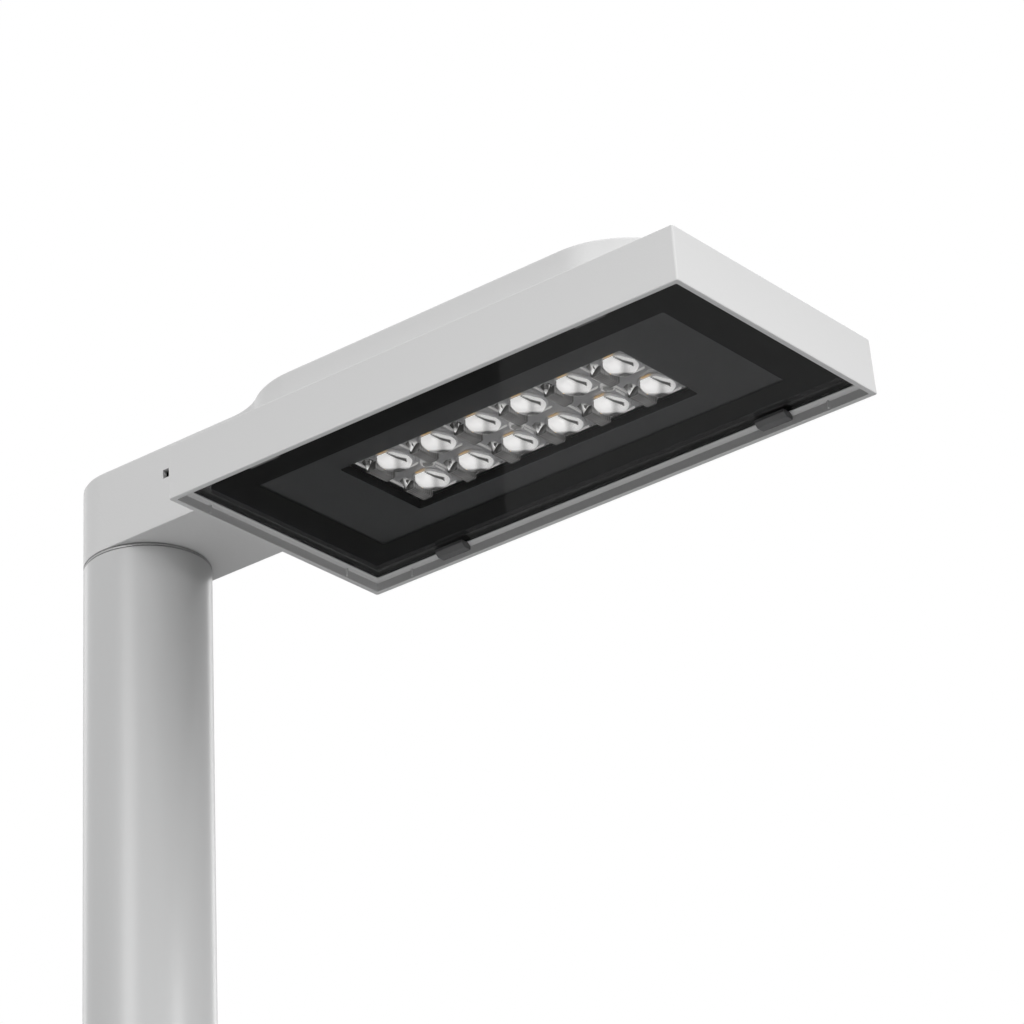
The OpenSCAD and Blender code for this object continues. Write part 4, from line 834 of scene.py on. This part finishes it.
def buildLensModule(node):
    # A tray-shaped plate, four optics under it, and the raised ring and ribs between them
    a, b = low(node), high(node)
    cx, cy = (a[0] + b[0]) / 2, (a[1] + b[1]) / 2
    z = a[2] + lens["rise"]
    half, e = lens["width"] / 2, lens["edge"]

    def ring(inset, height):
        return roundedRing(cx - half + inset, cx + half - inset, cy - half + inset, cy + half - inset,
                           lens["corner"], z + height)

    top = lens["plate"] + lens["skirt"]
    rings = [ring(e, 0), ring(0, e), ring(0, top), ring(lens["wall"], top), ring(lens["wall"], lens["plate"])]
    parts = [(*stackRings(rings, True, True), 0)]
    unit = lensUnit()
    for i in (-1, 1):
        for j in (-1, 1):
            at = np.array([cx + i * lens["pitch"] / 2, cy + j * lens["pitch"] / 2, z])
            parts += [(part[0] + at, *part[1:]) for part in unit]
    # The raised ring round the middle takes the same grey painted light
    r0, r1, up = lens["boss"]
    boss = [(r0, 0.3 * mm), (r0, -up), (r0 + 0.4 * mm, -up - 0.2 * mm), (r1 - 0.3 * mm, -up), (r1, 0.3 * mm)]
    points, faces = lathe(boss, (cx, cy, z), 40, close=True)
    parts.append((points, faces, 1, np.full(points.shape[:2], lens["linePaintedLight"])))
    for start, end in lens["plateLines"]:
        points, faces = ridge(start, end)
        parts.append((points + (cx, cy, z), faces, 1, np.full(points.shape[:2], lens["linePaintedLight"])))
    return makeMesh(node + "_optics", parts, 30)


for i in (1, 2, 3):
    node = "lens_module_%d" % i
    makePiece("lens_optics_%d" % i, buildLensModule(node), "head",
              [finishes[k] for k in ("lens", "dome", "painted_glint")], [node])
print("lens arrays built")


# Pole and collar

pole = {"wall": 3 * mm, "gap": 0.8 * mm, "cornerR": 14 * mm, "margin": 24 * mm, "spread": 52.0, "edge": 0.6 * mm,
        "columns": 36, "rows": 44, "rings": 7, "round": 88, "ringGrowth": 1.3}


def buildPole():
    # The tube is a grid of angle and height. Round the hatch, loops run from the rounded opening
    # to a plain rectangle of the grid: each point slides in a straight line between the two.
    # Solidify gives the tube its wall, inwards.
    a0, b0 = low("hatch_door"), high("hatch_door")
    hw, hh = b0[0] + pole["gap"], (b0[2] - a0[2]) / 2 + pole["gap"]
    mid, r = (a0[2] + b0[2]) / 2, pole["cornerR"]
    spread, outerH = math.radians(pole["spread"]), hh + pole["margin"]
    s = np.linspace(-1, 1, pole["columns"] + 1)
    t = np.linspace(-1, 1, pole["rows"] + 1)
    oneS, oneT = np.ones(len(s)), np.ones(len(t))
    sides = ((s, -oneS), (oneT, t), (s[::-1], oneS), (-oneT, t[::-1]))
    loop = np.concatenate([np.stack(side, -1)[:-1] for side in sides])
    flat = loop * (hw, hh)
    core = np.clip(flat, (-hw + r, -hh + r), (hw - r, hh - r))
    away = flat - core
    reach = np.linalg.norm(away, axis=-1, keepdims=True)
    opening = np.where(reach > 0, core + away / np.maximum(reach, 1e-9) * r, flat)
    opening = np.where((np.abs(core) < (hw - r - 1e-9, hh - r - 1e-9)).any(-1, keepdims=True), flat, opening)
    inner = np.stack([np.arcsin(opening[:, 0] / poleR), opening[:, 1]], -1)
    outer = loop * (spread, outerH)
    k = np.linspace(0, 1, pole["rings"] + 1)[:, None, None] ** pole["ringGrowth"]
    ring = inner * (1 - k) + outer * k

    def onTube(angle, z, r=poleR):
        return np.stack([r * np.sin(angle), -r * np.cos(angle), z], -1)

    patch = onTube(ring[..., 0], ring[..., 1] + mid)
    parts = [(patch, gridFaces(*patch.shape[:2], wrapV=True))]
    rest = np.linspace(spread, tau - spread, pole["round"] + 1)
    rows = mid + t * outerH
    grid = onTube(rest[None, :] + 0 * rows[:, None], rows[:, None] + 0 * rest[None, :])
    parts.append((grid, gridFaces(*grid.shape[:2], flip=True)))
    whole = np.concatenate([s[:-1] * spread, rest[:-1]])
    e = pole["edge"]
    below = [(0, poleLow), (0, mid - outerH)]
    above = [(0, mid + outerH), (0, poleTop - e)]
    above += [(along, poleTop - up) for along, up in fillet(e, 3, 0, 90)]
    for levels in (below, above):
        inset, z = np.array(levels).T
        grid = np.stack([onTube(whole, np.full(whole.shape, h), poleR - d) for d, h in zip(inset, z)])
        parts.append((grid, gridFaces(*grid.shape[:2], wrapV=True, flip=True)))
    return makeMesh("pole_shell", parts, 30, closed=False)


poleShell = makePiece("pole_shell", buildPole(), "post", [finishes["powder_coat_pole"]],
                      ["pole_tube"])
wall = poleShell.modifiers.new("wall", "SOLIDIFY")
wall.thickness, wall.offset = pole["wall"], -1

collar = {"groove": 2.4 * mm, "grooveH": 0.45 * mm, "inset": 0.4 * mm, "edge": 0.35 * mm, "wall": 4 * mm,
          "stubIn": 13 * mm, "stubEdge": 1 * mm, "play": 0.05 * mm, "lead": (0.6 * mm, 1.5 * mm), "web": 6 * mm}


def buildCollar():
    # One turned profile: the sleeve inside the pole, the dark groove, the ring, the groove again, and the
    # stub that the arm sits on
    bore, stub, wall = poleR - pole["wall"], poleR - collar["stubIn"], collar["wall"]
    bottom, top = low("spigot")[2], high("spigot")[2]
    out, deep, h = poleR - collar["inset"], poleR - collar["inset"] - collar["groove"], collar["grooveH"]
    e, play, edge, under = collar["edge"], collar["play"], collar["stubEdge"], poleTop - collar["web"]
    leadIn, leadUp = collar["lead"]
    profile = [(bore - wall, bottom), (bore - leadIn, bottom), (bore - play, bottom + leadUp),
               (bore - play, poleTop), (deep, poleTop), (deep, poleTop + h)]
    profile += [(out - along, poleTop + h + up) for along, up in fillet(e, 3, 90, 0)]
    profile += [(out - along, armLow - h - up) for along, up in fillet(e, 3, 0, 90)]
    profile += [(deep, armLow - h), (deep, armLow), (stub, armLow), (stub, top - edge), (stub - edge, top),
                (stub - wall, top), (stub - wall, under), (bore - wall, under)]
    return makeMesh("collar", [lathe(profile, (0, 0, 0), 128, close=True)], 30)


makePiece("collar", buildCollar(), "post", [finishes["collar"]], ["spigot"])
print("pole and collar built")
